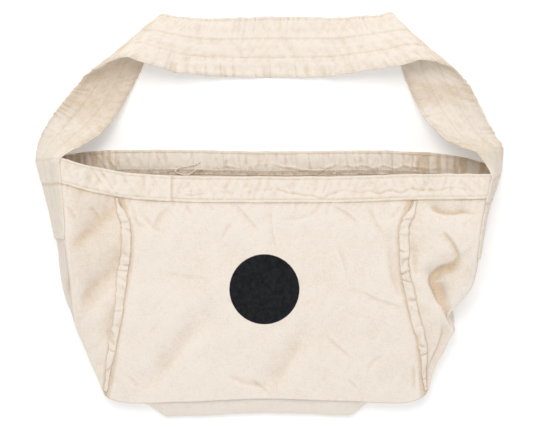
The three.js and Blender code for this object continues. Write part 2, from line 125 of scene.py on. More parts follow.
# Main folds of the upper side: x and down of both ends, width and depth
FOLDS = (
    (-0.65, 0.14, -0.86, 0.38, 2.8, -0.9),
    (-0.64, 0.4, -0.81, 0.62, 2.6, -0.9),
    (0.7, 0.16, 0.85, 0.165, 1.8, -0.7),
    (0.78, 0.4, 0.69, 0.45, 2.2, -1.1),
    (0.69, 0.46, 0.72, 0.56, 2.0, -1.0),
    (-0.28, 0.64, -0.49, 0.9, 3.2, -0.8),
    (0.14, 0.72, 0.0, 0.93, 3.2, -0.7),
    (0.51, 0.3, 0.55, 0.52, 2.2, -0.5),
)

# Nudges of the right gusset's edge, where it folds over to a tip: line, down, how many lines
# and how much of the way down each one reaches, and how far it goes across
NUDGES = (
    (15.4, 0.685, 1.3, 0.035, -5.0),
    (15.4, 0.745, 1.3, 0.028, 5.0),
)

# The free strap: its outer edge's x, y and z, and the other edge's place from it
STRAP_ROWS = (
    (-1.005, 0.03, 0.05, 0.63, -0.09, 0.82),
    (-0.98, 0.12, 0.09, 0.7, -0.22, 0.67),
    (-0.925, 0.27, 0.24, 0.78, -0.36, 0.29),
    (-0.855, 0.41, 0.48, 0.8, -0.28, -0.16),
    (-0.815, 0.48, 0.65, 0.92, 0.11, -0.45),
    (-0.785, 0.53, 0.79, 1.03, 0.52, -0.56),
    (-0.757, 0.565, 0.88, 1.03, 0.83, -0.63),
    (-0.718, 0.6, 0.96, 0.94, 0.89, -0.65),
    (-0.665, 0.64, 1.0, 0.83, 0.8, -0.63),
    (-0.612, 0.66, 0.97, 0.75, 0.72, -0.61),
    (-0.534, 0.62, 0.83, 0.62, 0.8, -0.51),
    (-0.407, 0.565, 0.52, 0.32, 0.91, -0.28),
    (-0.297, 0.545, 0.3, 0.11, 0.95, -0.13),
    (-0.153, 0.534, 0.14, 0.05, 0.99, -0.03),
    (0.009, 0.533, 0.08, 0.0, 1.01, 0.0),
    (0.171, 0.535, 0.13, -0.05, 1.0, -0.02),
    (0.29, 0.545, 0.28, -0.05, 0.96, -0.11),
    (0.416, 0.572, 0.52, -0.22, 0.92, -0.28),
    (0.552, 0.607, 0.82, -0.52, 0.85, -0.5),
    (0.63, 0.641, 0.97, -0.67, 0.78, -0.61),
    (0.671, 0.635, 1.0, -0.71, 0.82, -0.63),
    (0.714, 0.62, 0.97, -0.75, 0.88, -0.66),
    (0.761, 0.595, 0.89, -0.91, 0.85, -0.63),
    (0.792, 0.565, 0.8, -0.99, 0.63, -0.57),
    (0.824, 0.508, 0.67, -1.04, 0.31, -0.46),
    (0.863, 0.424, 0.48, -1.01, -0.01, -0.24),
    (0.915, 0.267, 0.24, -0.97, -0.11, 0.13),
    (0.965, 0.108, 0.09, -0.78, -0.14, 0.53),
    (0.995, 0.02, 0.05, -0.51, -0.1, 0.79),
)
SEWN_DEPTHS = (1.0, 0.8, 0.6, 0.42, 0.335, 0.28, 0.14, 0.02)


def mix(a, b, t):
    """A value between two others."""
    return a + (b - a) * t


def smooth(low, high, x):
    """A soft step from 0 at one value to 1 at another."""
    t = np.clip((np.asarray(x, float) - low) / (high - low), 0, 1)
    return t * t * (3 - 2 * t)


# Noise: smooth, repeatable bumps at one unit's spacing


def lattice(ix, iy, iz, seed):
    """A repeatable number from -1 to 1 for one lattice point."""
    mixed = (ix * 374761393 + iy * 668265263 + iz * 1440662683 + seed * 1274126177) & 0xFFFFFFFF
    mixed = ((mixed ^ (mixed >> 13)) * 1103515245) & 0xFFFFFFFF
    mixed = (mixed ^ (mixed >> 16)) & 0xFFFFFF
    return mixed / 0x7FFFFF - 1.0


def noise(points, seed):
    """Smooth bumps over points in space."""
    points = np.asarray(points, float)
    cell = np.floor(points).astype(np.int64)
    local = points - cell
    ease = local ** 3 * (local * (local * 6 - 15) + 10)
    total = np.zeros(points.shape[:-1])
    for corner in range(8):
        step = np.array([corner & 1, corner >> 1 & 1, corner >> 2 & 1])
        at = cell + step
        away = local - step
        slopes = [lattice(at[..., 0], at[..., 1], at[..., 2], seed + axis) for axis in range(3)]
        weight = np.prod(np.where(step == 1, ease, 1 - ease), axis=-1)
        total += weight * sum(slopes[axis] * away[..., axis] for axis in range(3))
    return total * 1.4


def line_noise(along, seed):
    """Smooth bumps along a line."""
    flat = np.stack([along, np.full_like(along, 0.37), np.full_like(along, 0.71)], -1)
    return noise(flat, seed)


# The cloth's outer face


def section(column, down):
    """One column of the sections at any place down the bag, as a smooth cubic."""
    knots = SECTIONS[:, 0]
    values = SECTIONS[:, SECTION_COLUMNS.index(column)]
    before = np.maximum(np.arange(len(knots)) - 1, 0)
    after = np.minimum(np.arange(len(knots)) + 1, len(knots) - 1)
    slopes = (values[after] - values[before]) / (knots[after] - knots[before])
    row = np.clip(np.searchsorted(knots[1:-1], down, side="left"), 0, len(knots) - 2)
    span = knots[row + 1] - knots[row]
    t = (down - knots[row]) / span
    bend = t * t * (3 - 2 * t)
    lift = t * (1 - t) * span * ((1 - t) * slopes[row] - t * slopes[row + 1])
    return mix(values[row], values[row + 1], bend) + lift


def line_points(down):
    """The point of every line at each place down the bag."""
    seam_l = -FRONT_WIDTH / 2 * section("seam_l", down)
    seam_r = FRONT_WIDTH / 2 * section("seam_r", down)
    crease_l = seam_l - LEFT_REACH * section("reach_l", down)
    crease_r = seam_r + RIGHT_REACH * section("reach_r", down)
    floor_l = crease_l - LEFT_LEAN * section("lean_l", down)
    floor_r = crease_r + RIGHT_LEAN * section("lean_r", down)
    wall_z = WALL_HEIGHT * section("wall", down)
    seam_z = SEAM_LOFT * section("seam", down)
    front_z = FRONT_LOFT * section("front", down)
    back_l = np.full_like(down, BACK_LEFT_X)
    back_r = FRONT_WIDTH / 2 * mix(0.9, 0.96, down)
    near_z = mix(front_z, seam_z, 0.8)
    quarter_z = mix(front_z, seam_z, 0.25)
    floor_z = np.zeros_like(down)
    across = [
        floor_z, back_l, mix(back_l, floor_l, 0.6), floor_l, mix(floor_l, crease_l, 0.5),
        crease_l, mix(crease_l, seam_l, 0.5), seam_l, mix(seam_l, seam_r, 0.045),
        mix(seam_l, seam_r, 0.24), mix(seam_l, seam_r, 0.5), mix(seam_l, seam_r, 0.77),
        mix(seam_l, seam_r, 0.955), seam_r, mix(seam_r, crease_r, 0.5), crease_r,
        mix(crease_r, floor_r, 0.5), floor_r, mix(floor_r, back_r, 0.4), back_r,
    ]
    high = [
        floor_z, floor_z, floor_z, floor_z, wall_z * 0.5,
        wall_z, mix(wall_z, seam_z, 0.55), seam_z, near_z,
        quarter_z, front_z, quarter_z,
        near_z, seam_z, mix(seam_z, wall_z, 0.45), wall_z,
        wall_z * 0.5, floor_z, floor_z, floor_z,
    ]
    rim = BACK_LEAD * LEAD
    end = -FRONT_HEIGHT + BACK_SHORT * RISE
    along = mix(rim, end, down[:, None])
    return np.stack([np.stack(across, -1), along, np.stack(high, -1)], -1)


def hermite(p0, p1, p2, p3, t):
    """A centripetal curve through p1 and p2."""
    step0 = np.maximum(np.linalg.norm(p1 - p0, axis=-1, keepdims=True), 1e-4) ** 0.5
    step1 = np.maximum(np.linalg.norm(p2 - p1, axis=-1, keepdims=True), 1e-4) ** 0.5
    step2 = np.maximum(np.linalg.norm(p3 - p2, axis=-1, keepdims=True), 1e-4) ** 0.5
    leave = ((p1 - p0) / step0 - (p2 - p0) / (step0 + step1) + (p2 - p1) / step1) * step1
    arrive = ((p2 - p1) / step1 - (p3 - p1) / (step1 + step2) + (p3 - p2) / step2) * step1
    t = t[..., None]
    square = t * t
    cube = square * t
    start = p1 * (2 * cube - 3 * square + 1) + leave * (cube - 2 * square + t)
    return start + p2 * (3 * square - 2 * cube) + arrive * (cube - square)


def fold_height(x, down):
    """The main folds of the upper side, in millimetres."""
    height = np.zeros_like(x)
    y = down * FRONT_HEIGHT
    for x0, down0, x1, down1, width, depth in FOLDS:
        start = np.array([x0 * HALF_SPAN + MIDDLE, down0 * FRONT_HEIGHT])
        run = np.array([x1 * HALF_SPAN + MIDDLE, down1 * FRONT_HEIGHT]) - start
        share = np.clip(((x - start[0]) * run[0] + (y - start[1]) * run[1]) / (run @ run), 0, 1)
        away = np.hypot(x - start[0] - share * run[0], y - start[1] - share * run[1])
        height += depth * FOLD_DEPTH * np.exp(-(away / (width * FOLD_DEPTH)) ** 2)
    return height


def cloth(turn, down):
    """Points of the cloth's outer face: "turn" counts the lines, "down" goes rim to bottom."""
    shape = np.shape(turn)
    turn = np.ravel(turn).astype(float)
    down = np.ravel(np.broadcast_to(down, shape)).astype(float)
    points = line_points(down)
    segment = np.floor(turn).astype(int)
    rows = np.arange(len(turn))
    corners = [points[rows, (segment + step) % LINES] for step in (-1, 0, 1, 2)]
    found = hermite(*corners, turn - segment)
    upper = smooth(LINE["crease_left"], LINE["gusset_left"], turn)
    upper = upper * (1 - smooth(LINE["gusset_right"], LINE["crease_right"], turn))
    inside = smooth(0.08, 0.18, down) * (1 - smooth(0.88, 0.98, down))
    found[:, 2] += upper * inside * fold_height(found[:, 0], down)
    for line, at, lines, reach, across in NUDGES:
        away = ((turn % LINES - line) / lines) ** 2 + ((down - at) / reach) ** 2
        found[:, 0] += across * np.exp(-away)
    return found.reshape(shape + (3,))


def unit(vectors):
    """The same directions at length one."""
    return vectors / np.maximum(np.linalg.norm(vectors, axis=-1, keepdims=True), 1e-9)


def cloth_normal(turn, down):
    """The cloth's outward direction."""
    step = 0.002
    held = np.clip(down, step, 1 - step)
    round_it = cloth(turn + step, held) - cloth(turn - step, held)
    along = cloth(turn, held + step) - cloth(turn, held - step)
    return unit(np.cross(along, round_it))


def even_turns(start, stop, down, spacing):
    """Places round the bag from one line to another, evenly spaced in real length."""
    fine = np.linspace(start, stop, 1200)
    points = cloth(fine, np.full_like(fine, down))
    length = np.concatenate([[0], np.cumsum(np.linalg.norm(np.diff(points, axis=0), axis=1))])
    count = max(int(round(length[-1] / spacing)), 2)
    even = np.linspace(0, length[-1], count + 1)
    return np.interp(even, length, fine), even


def down_share(turn, length):
    """The share down the bag that a length takes on each line."""
    top = cloth(turn, np.full_like(turn, 0.02))
    foot = cloth(turn, np.full_like(turn, 0.98))
    return length / np.linalg.norm(foot - top, axis=-1) * 0.96


# Wrinkles of the bag's cloth, in millimetres along its outward normal

# Creases: the depth, the width of the steep side, which is on the left of the way that the
# crease runs, the width of the gentle side, and the points that it runs through, in x and y
CREASES = (
    (-7.0, 15, 3.5, ((281, -117), (269, -130), (253, -137), (241, -152), (246, -169), (253, -184))),
    (-6.5, 13, 1.6, ((240, -152), (252, -184), (262, -203), (271, -217), (279, -232))),
    (-3.0, 2.0, 9, ((255, -79), (269, -95), (279, -115), (280, -125))),
    (-3.2, 6.0, 2, ((236, -42), (250, -52), (268, -55), (284, -53), (302, -55))),
    (-3.5, 12, 1.6, ((255, -213), (257, -232), (252, -252), (244, -271), (237, -291))),
    (-2.0, 9.0, 5, ((213, -93), (216, -126), (222, -152))),
    (-3.2, 9.0, 17, ((-93, -209), (-111, -225), (-141, -265), (-168, -301))),
    (-2.5, 8.0, 10, ((56, -239), (47, -250), (25, -282), (3, -314))),
    (-1.3, 1.5, 6, ((84, -233), (106, -253), (128, -272))),
    (-1.5, 2.0, 8, ((135, -167), (162, -182), (204, -194))),
    (-2.0, 1.8, 7, ((-23, -302), (1, -319))),
    (-1.6, 7.0, 3, ((-61, -295), (-31, -307), (6, -311))),
    (-1.3, 2.2, 9, ((4, -44), (6, -79), (13, -108))),
    (-1.6, 1.6, 7, ((-52, -37), (-43, -46), (-21, -71), (-11, -83))),
    (-1.6, 9.0, 3, ((-141, -42), (-160, -59), (-170, -83))),
    (-1.2, 6.0, 2, ((-55, -66), (-70, -93))),
    (-1.2, 6.0, 2, ((20, -64), (52, -61), (67, -54))),
    (-1.4, 1.8, 7, ((91, -42), (108, -49), (130, -66), (135, -76))),
    (-1.4, 2.4, 9, ((150, -42), (160, -69), (174, -88))),
    (-1.8, 2.0, 6, ((-199, -42), (-192, -69), (-180, -74))),
    (-1.0, 3.0, 10, ((-155, -142), (-124, -147), (-92, -152), (-80, -162))),
    (-2.6, 12.0, 5, ((179, -101), (184, -142), (196, -178))),
    (-2.4, 16.0, 10, ((-223, -39), (-254, -74), (-293, -113))),
    (-2.4, 16.0, 9, ((-218, -129), (-254, -164), (-279, -205))),
    (-3.0, 3.0, 12, ((-228, -182), (-234, -214), (-241, -248))),
    (-1.4, 1.6, 6, ((-300, -40), (-286, -52), (-280, -66))),
    (-1.2, 1.6, 6, ((-262, -42), (-250, -56), (-246, -66))),
    (-1.1, 1.6, 5, ((-120, -42), (-112, -56))),
    (-1.0, 1.6, 5, ((-88, -40), (-78, -52))),
    (-1.0, 5.0, 2, ((75, -40), (70, -50), (60, -58))),
    (-1.2, 5.0, 2, ((196, -42), (190, -52), (178, -62))),
    (-1.1, 1.6, 5, ((118, -300), (134, -312))),
    (-1.1, 5.0, 2, ((170, -262), (150, -280), (146, -296))),
    (-1.2, 1.6, 5, ((-205, -296), (-190, -312))),
    (-1.6, 1.4, 4, ((216, -278), (218, -298), (217, -322))),
    (-1.3, 5, 1.8, ((-190, -52), (-168, -76), (-150, -84))),
    (-1.0, 1.8, 6, ((-70, -180), (-40, -188), (-12, -186))),
    (-1.1, 6, 2, ((100, -100), (112, -128), (116, -150))),
)


def catmull(points, count):
    """A smooth curve through a few points, in the plane or in space."""
    ends = np.array(points, float)
    ends = np.concatenate([2 * ends[:1] - ends[1:2], ends, 2 * ends[-1:] - ends[-2:-1]])
    along = np.linspace(0, len(points) - 1 - 1e-9, count)
    segment = np.floor(along).astype(int)
    corners = [ends[segment + step] for step in range(4)]
    return hermite(*corners, along - segment)


def crease_profile(x, y, depth, steep, gentle, points):
    """A valley with one steep and one gentle side, fading out at both ends."""
    line = catmull(points, 8 * len(points))
    lengths = np.concatenate([[0], np.cumsum(np.linalg.norm(np.diff(line, axis=0), axis=1))])
    reach = max(steep, gentle) * 2.6
    near = (x > line[:, 0].min() - reach) & (x < line[:, 0].max() + reach)
    near &= (y > line[:, 1].min() - reach) & (y < line[:, 1].max() + reach)
    height = np.zeros_like(x)
    if not near.any():
        return height
    px = x[near][:, None]
    py = y[near][:, None]
    run = np.diff(line, axis=0)
    size = (run ** 2).sum(1)
    share = np.clip(((px - line[:-1, 0]) * run[:, 0] + (py - line[:-1, 1]) * run[:, 1]) / size, 0, 1)
    away_x = px - line[:-1, 0] - share * run[:, 0]
    away_y = py - line[:-1, 1] - share * run[:, 1]
    distance = np.hypot(away_x, away_y)
    best = distance.argmin(1)
    rows = np.arange(len(best))
    side = np.sign(run[best, 0] * away_y[rows, best] - run[best, 1] * away_x[rows, best])
    travelled = (lengths[best] + share[rows, best] * np.diff(lengths)[best]) / lengths[-1]
    width = np.where(side > 0, steep, gentle)
    fade = smooth(-0.02, 0.3, travelled) * (1 - smooth(0.7, 1.02, travelled))
    shape = np.exp(-(distance[rows, best] / width) ** 2)
    height[near] = depth * shape * (0.12 + 0.88 * fade)
    return height


def crease_height(x, y):
    """All the creases together."""
    return sum(crease_profile(x, y, *crease) for crease in CREASES)


HEM_ROWS = (3.5, HEM_HEIGHT - 3.5)  # stitch rows of the hem, below the rim
INSIDE_ROWS = (4.0, 26.5)  # the same rows where they show inside the back hem
RAW_EDGE = 30.0  # depth of the cut edge of the cloth that is turned in there


def crimps(along, seed, width=0.2):
    """Narrow valleys at uneven places, as between the puckers of gathered cloth."""
    depth = 0.5 + line_noise(along / 2.3, seed + 100)
    return -np.exp(-(line_noise(along, seed) / width) ** 2) * np.clip(depth, 0, 1)


def row_dents(across, rows, width):
    """How the stitch rows pull the cloth in."""
    return sum(np.exp(-((across - row) / width) ** 2) for row in rows)


def hem_relief(turn, points, depth_mm):
    """The hem's puckers: gathered along its rows, loose between them."""
    x = points[..., 0]
    along = np.where(turn < LINE["gusset_right"], x, x + 0.4 * points[..., 1])
    band = np.sin(np.clip(depth_mm / HEM_HEIGHT, 0, 1) * math.pi)
    folds = line_noise(along / 13 + 0.03 * depth_mm, 15) * 0.8
    folds += line_noise(along / 7.5 - 0.06 * depth_mm, 16) * 0.6
    folds += crimps(along / 12 + 0.03 * depth_mm, 22) * 1.6 + crimps(along / 15 - 0.05 * depth_mm, 23) * 1.3
    soft = np.stack([along / 11, depth_mm / 21, np.zeros_like(x)], -1)
    folds += noise(soft, 18) * 1.6
    slant = np.stack([(along + depth_mm) / 9, (along - depth_mm) / 30, np.zeros_like(x)], -1)
    folds += noise(slant, 21) * 0.9
    ruck = 24 + line_noise(along / 24, 19) * 9
    ruck_share = np.clip(0.7 + line_noise(along / 40, 20), 0, 1)
    ruck_depth = -1.5 * np.exp(-((depth_mm - ruck) / 1.7) ** 2) * ruck_share
    folds *= 1.7 - 0.7 * smooth(-210, -150, x)
    height = folds * (0.15 + 0.75 * band) + ruck_depth * smooth(-170, -140, x)
    return height - 0.45 * row_dents(depth_mm, HEM_ROWS, 1.3)


def gusset_edge(turn, line, inward, down):
    """The creased edge where a gusset turns down to the floor: a ridge with a hollow outside it."""
    away = (turn - line) * inward
    run = smooth(0.1, 0.25, down) * (1 - smooth(0.62, 0.8, down))
    ridge = 1.3 * np.exp(-(away / 0.1) ** 2) - 1.8 * np.exp(-((away + 0.2) / 0.13) ** 2)
    return ridge * run


def relief(turn, down, points, depth_mm):
    """How far the cloth stands out from its plain form."""
    x = points[..., 0]
    y = points[..., 1]
    around = np.clip(turn, -LINES, 2 * LINES)
    wall_l = smooth(2.6, 3.2, around) * (1 - smooth(4.8, 5.3, around))
    wall_r = smooth(14.7, 15.2, around) * (1 - smooth(16.8, 17.4, around))
    under_strap = (wall_l + wall_r) * (1 - smooth(SEWN_LEFT, SEWN_LEFT + 20, depth_mm))
    broad = noise(points / 62, 11) * 1.9 + noise(points / 25, 12) * 0.6
    small = noise(points / 10, 13) * 0.3 + noise(points / 5.5, 25) * 0.12
    slant = np.stack([(x + y) / 60, (x - y) / 22, np.zeros_like(x)], -1)
    sharp = noise(slant, 14) * 0.55
    in_hem = 1 - smooth(HEM_HEIGHT - 1, HEM_HEIGHT + 1, depth_mm)
    near_hem = np.exp(-np.maximum(depth_mm - HEM_HEIGHT, 0) / 13)
    pucker = line_noise(x / 12 + 0.03 * depth_mm, 15) * 1.3 + line_noise(x / 7 + 0.1 * depth_mm, 16) * 0.6
    pucker += crimps(x / 13 + 0.02 * depth_mm, 26) * 1.4
    below = near_hem * (pucker - 0.6)
    side_l = np.abs(around - LINE["seam_left"])
    side_r = np.abs(around - LINE["seam_right"])
    near_seam = np.exp(-side_l * 2.6) + np.exp(-side_r * 2.6)
    seam = near_seam * (line_noise(y / 9 + around * 1.5, 17) * 1.1 - 0.5)
    upper = smooth(4.6, 5.6, around) * (1 - smooth(14.6, 15.4, around))
    plain = broad + small + sharp + below + seam + upper * crease_height(x, y)
    plain = plain + gusset_edge(around, LINE["crease_left"], 1, down)
    plain = plain + gusset_edge(around, LINE["crease_right"], -1, down)
    hem = hem_relief(around, points, depth_mm) if in_hem.max() > 0 else 0
    height = (1 - in_hem) * plain + in_hem * hem
    return height * (1 - 0.9 * under_strap)


def outer_face(turn, down, depth_mm):
    """The wrinkled outer face, its normals and its wrinkles."""
    points = cloth(turn, down)
    normals = cloth_normal(turn, down)
    height = relief(turn, down, points, depth_mm)
    return points, normals, height


def settle(points, floor=0.0):
    """Keep points on or above the surface, in the frame's own place."""
    points = points + ORIGIN
    points[..., 2] = np.maximum(points[..., 2], floor)
    return points


# Meshes


def link(name, points, faces, body="root"):
    """A mesh object from points in millimetres, riding on a body."""
    mesh = bpy.data.meshes.new(name)
    mesh.from_pydata((points * MM).tolist(), [], faces.tolist())
    mesh.validate()
    mesh.polygons.foreach_set("use_smooth", [True] * len(mesh.polygons))
    mesh.update()
    obj = bpy.data.objects.new(name, mesh)
    bpy.context.scene.collection.objects.link(obj)
    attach(obj, body)
    return obj


def add_uv(obj, places):
    """A UV map in metres of cloth, from one place for each vertex."""
    layer = obj.data.uv_layers.new(name="cloth")
    corners = np.zeros(len(obj.data.loops), dtype=np.int64)
    obj.data.loops.foreach_get("vertex_index", corners)
    layer.data.foreach_set("uv", (places[corners] * MM).ravel())


def add_values(obj, name, values):
    """A value for each vertex, for the materials to read."""
    attribute = obj.data.attributes.new(name=name, type="FLOAT", domain="POINT")
    attribute.data.foreach_set("value", values.ravel())


def grid_faces(rows, columns, start=0, flip=False, wrap_rows=False):
    """Quads of a grid of points, by row and column."""
    last = rows if wrap_rows else rows - 1
    row, column = np.meshgrid(np.arange(last), np.arange(columns - 1), indexing="ij")
    a = start + row * columns + column
    b = start + (row + 1) % rows * columns + column
    quads = np.stack([a, b, b + 1, a + 1], -1).reshape(-1, 4)
    return quads[:, ::-1] if flip else quads


def sheet_solid(name, outer, inner, places, crease):
    """A closed sheet between an outer and an inner grid of points."""
    rows, columns = outer.shape[:2]
    count = rows * columns
    faces = [grid_faces(rows, columns), grid_faces(rows, columns, count, flip=True)]
    index = np.arange(count).reshape(rows, columns)
    edge = np.concatenate([index[0, :], index[1:, -1], index[-1, -2::-1], index[-2:0:-1, 0]])
    after = np.roll(edge, -1)
    faces.append(np.stack([edge, after, after + count, edge + count], -1))
    points = np.concatenate([outer.reshape(-1, 3), inner.reshape(-1, 3)])
    obj = link(name, points, np.concatenate(faces))
    face_out(obj)
    add_uv(obj, np.concatenate([places.reshape(-1, 2)] * 2))
    # the "crease" attribute carries painted shade, and painted light where it is negative
    add_values(obj, "crease", np.concatenate([crease.ravel()] * 2))
    return obj


def face_out(obj):
    """Turn a closed mesh the right way out if its volume is negative."""
    mesh = obj.data
    points = np.zeros(len(mesh.vertices) * 3)
    mesh.vertices.foreach_get("co", points)
    points = points.reshape(-1, 3)
    mesh.calc_loop_triangles()
    corners = np.zeros(len(mesh.loop_triangles) * 3, dtype=np.int64)
    mesh.loop_triangles.foreach_get("vertices", corners)
    a, b, c = points[corners.reshape(-1, 3)].transpose(1, 0, 2)
    if np.einsum("ij,ij->i", a, np.cross(b, c)).sum() < 0:
        mesh.flip_normals()
        mesh.update()


# Materials


def linear(hex_code):
    """A colour written as sRGB hex, as the linear numbers that shaders take."""
    parts = [int(hex_code[place:place + 2], 16) / 255 for place in (1, 3, 5)]
    return [part / 12.92 if part <= 0.04045 else ((part + 0.055) / 1.055) ** 2.4 for part in parts] + [1.0]


def add_node(tree, kind, settings=None, **sockets):
    """One node, with its settings, its fixed values and its links."""
    node = tree.nodes.new(kind)
    for name, value in (settings or {}).items():
        setattr(node, name, value)
    for name, value in sockets.items():
        key = int(name[1:]) if name[0] == "i" and name[1:].isdigit() else name.replace("_", " ")
        socket = node.inputs[key]
        if isinstance(value, bpy.types.NodeSocket):
            tree.links.new(value, socket)
        else:
            socket.default_value = value
    return node


def maths(tree, operation, a, b, c=None, clamp=False):
    """The result of one step of arithmetic on two or three values."""
    values = {"i0": a, "i1": b}
    if c is not None:
        values["i2"] = c
    settings = {"operation": operation, "use_clamp": clamp}
    return add_node(tree, "ShaderNodeMath", settings, **values).outputs[0]


def blend(tree, amount, first, second):
    """A colour between two others."""
    mixed = add_node(tree, "ShaderNodeMix", {"data_type": "RGBA"}, i0=amount, i6=first, i7=second)
    return mixed.outputs[2]


def speckle(tree, place, size, detail, roughness=0.5):
    """Noise of one size, in metres."""
    node = add_node(
        tree, "ShaderNodeTexNoise", Vector=place, Scale=1 / size, Detail=detail, Roughness=roughness
    )
    return node.outputs[0]


# Unbleached cotton canvas: a plain weave of coarse undyed thread. It is matt and warm ivory,
# with painted shade browning its creases and hollows, and a few dark flecks of seed husk in the yarn.
THREAD = 1.1  # millimetres between threads
FLECK_SPACING = 16.0
BLOTCH = 70.0
SLUB_LENGTH = 8.0
SLUB_WIDTH = 1.6
GRAIN = 2.6
ONE_WAVE = 0.31416  # the wave texture's scale that gives about one band a unit
TINTS = {"blotch": 0.34, "slub": 0.26, "grain": 0.42}  # how much each one browns the cloth
TINT_START = -0.13
PALE_PART = 0.46  # tint below this stays the light colour
FLECK_RADIUS = 0.035  # of the spacing between flecks
FLECKS_KEPT = 0.3
FLECK_STRENGTH = 0.45


def canvas(name, light, shade, printed=False):
    """Canvas between a light and a shade colour, with the round mark where it is printed."""
    material = bpy.data.materials.new(name)
    material.use_nodes = True
    tree = material.node_tree
    tree.nodes.clear()
    place = add_node(tree, "ShaderNodeUVMap", {"uv_map": "cloth"}).outputs["UV"]
    solid = add_node(tree, "ShaderNodeTexCoord").outputs["Object"]
    per_thread = (1 / (THREAD * MM),) * 3
    threads = add_node(tree, "ShaderNodeMapping", Vector=place, Scale=per_thread).outputs[0]
    bands = []
    for direction in ("X", "Y"):
        settings = {"wave_type": "BANDS", "wave_profile": "SIN", "bands_direction": direction}
        wave = add_node(tree, "ShaderNodeTexWave", settings, Vector=threads, Scale=ONE_WAVE)
        bands.append(wave.outputs[1])
    weave = maths(tree, "MULTIPLY", *bands)
    long_slub, wide_slub = 1 / (SLUB_LENGTH * MM), 1 / (SLUB_WIDTH * MM)
    slubs = []
    for scale in ((long_slub, wide_slub, 1), (wide_slub, long_slub, 1)):
        yarn = add_node(tree, "ShaderNodeMapping", Vector=place, Scale=scale).outputs[0]
        slubs.append(speckle(tree, yarn, 1.0, 2.0))
    slub = maths(tree, "ADD", *slubs)
    blotch = speckle(tree, solid, BLOTCH * MM, 5.0, 0.62)
    grain = speckle(tree, solid, GRAIN * MM, 2.0)
    # painted shade: the "crease" attribute browns the cloth in its hollows, creases, seams and under edges
    wear_and_painted_shade = add_node(tree, "ShaderNodeAttribute", {"attribute_name": "crease"}).outputs["Fac"]
    tint = TINT_START
    for source, kind in ((blotch, "blotch"), (slub, "slub"), (grain, "grain")):
        tint = maths(tree, "MULTIPLY_ADD", source, TINTS[kind], tint)
    tint = maths(tree, "ADD", wear_and_painted_shade, tint)
    tint = maths(tree, "SUBTRACT", tint, PALE_PART, clamp=True)
    colour = blend(tree, tint, linear(light), linear(shade))
    cells = add_node(tree, "ShaderNodeTexVoronoi", Vector=solid, Scale=1 / (FLECK_SPACING * MM))
    few = add_node(tree, "ShaderNodeSeparateColor", Color=cells.outputs["Color"]).outputs[0]
    close = maths(tree, "LESS_THAN", cells.outputs["Distance"], FLECK_RADIUS)
    fleck = maths(tree, "MULTIPLY", close, maths(tree, "LESS_THAN", few, FLECKS_KEPT))
    fleck = maths(tree, "MULTIPLY", fleck, FLECK_STRENGTH)
    colour = blend(tree, fleck, colour, linear("#9a7a52"))
    if printed:
        colour = printed_disc(tree, solid, weave, colour)
    height = maths(tree, "MULTIPLY_ADD", slub, 0.9, weave)
    bump = add_node(tree, "ShaderNodeBump", Strength=0.35, Distance=0.0004, Height=height)
    shader = add_node(
        tree, "ShaderNodeBsdfPrincipled", Base_Color=colour, Normal=bump.outputs[0],
        Roughness=0.92, Specular_IOR_Level=0.12, Sheen_Weight=0.05, Sheen_Roughness=0.6,
    )
    add_node(tree, "ShaderNodeOutputMaterial", Surface=shader.outputs[0])
    return material


# A plain round mark in black screen ink, a little thin where the weave drops away from it
DISC_CENTRE = (-7.0, -112.0)
DISC_RADIUS = 52.0
INK_EDGE = 1 / 900  # metres between the ragged bits of its edge
INK_GRAIN = 1 / 150  # metres between thin places
INK_FADE = 1 / 160  # metres between faded places


def printed_disc(tree, solid, weave, colour):
    """The cloth's colour with the round mark over it."""
    centre = (-DISC_CENTRE[0] * MM, -DISC_CENTRE[1] * MM, 0)
    moved = add_node(tree, "ShaderNodeVectorMath", {"operation": "ADD"}, i0=solid, i1=centre)
    in_plane = {"operation": "MULTIPLY"}
    flat = add_node(tree, "ShaderNodeVectorMath", in_plane, i0=moved.outputs[0], i1=(1, 1, 0))
    away = add_node(tree, "ShaderNodeVectorMath", {"operation": "LENGTH"}, i0=flat.outputs[0])
    ragged = speckle(tree, solid, INK_EDGE, 2.0)
    edge = maths(tree, "MULTIPLY_ADD", ragged, 0.0012, away.outputs["Value"])
    inked = add_node(
        tree, "ShaderNodeMapRange", Value=edge,
        From_Min=(DISC_RADIUS + 0.9) * MM, From_Max=(DISC_RADIUS + 0.1) * MM,
    ).outputs[0]
    thin = speckle(tree, solid, INK_GRAIN, 4.0, 0.7)
    bare = maths(tree, "MULTIPLY", thin, weave)
    cover = add_node(tree, "ShaderNodeMapRange", Value=bare, From_Max=0.12, To_Min=0.989).outputs[0]
    wear_and_painted_shade = speckle(tree, solid, INK_FADE, 5.0, 0.7)
    faded = add_node(tree, "ShaderNodeMapRange", Value=wear_and_painted_shade, From_Min=0.35, From_Max=0.65).outputs[0]
    ink = blend(tree, faded, linear("#05070a"), linear("#1d2025"))
    return blend(tree, maths(tree, "MULTIPLY", inked, cover), colour, ink)


def sewing_thread(name, colour):
    """Waxed cotton sewing thread: twisted, matt, a little paler than the cloth."""
    material = bpy.data.materials.new(name)
    material.use_nodes = True
    tree = material.node_tree
    tree.nodes.clear()
    solid = add_node(tree, "ShaderNodeTexCoord").outputs["Object"]
    vary = speckle(tree, solid, 1 / 300, 2.0)
    mixed = blend(tree, vary, linear(colour), linear("#e6d8bf"))
    shader = add_node(tree, "ShaderNodeBsdfPrincipled", Base_Color=mixed, Roughness=0.8)
    add_node(tree, "ShaderNodeOutputMaterial", Surface=shader.outputs[0])
    return material


# Pieces of the bag


def fold_share(points, turn, down):
    """The main folds of the upper side, whose hollows get painted shade as the wrinkles' do."""
    upper = smooth(LINE["crease_left"], LINE["gusset_left"], turn)
    upper = upper * (1 - smooth(LINE["gusset_right"], LINE["crease_right"], turn))
    return upper * fold_height(points[..., 0], down)


def finish_piece(obj, material, nodes):
    """Give a piece its material and hide the solids that it stands for."""
    obj.data.materials.append(material)
    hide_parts(*nodes)
    return obj


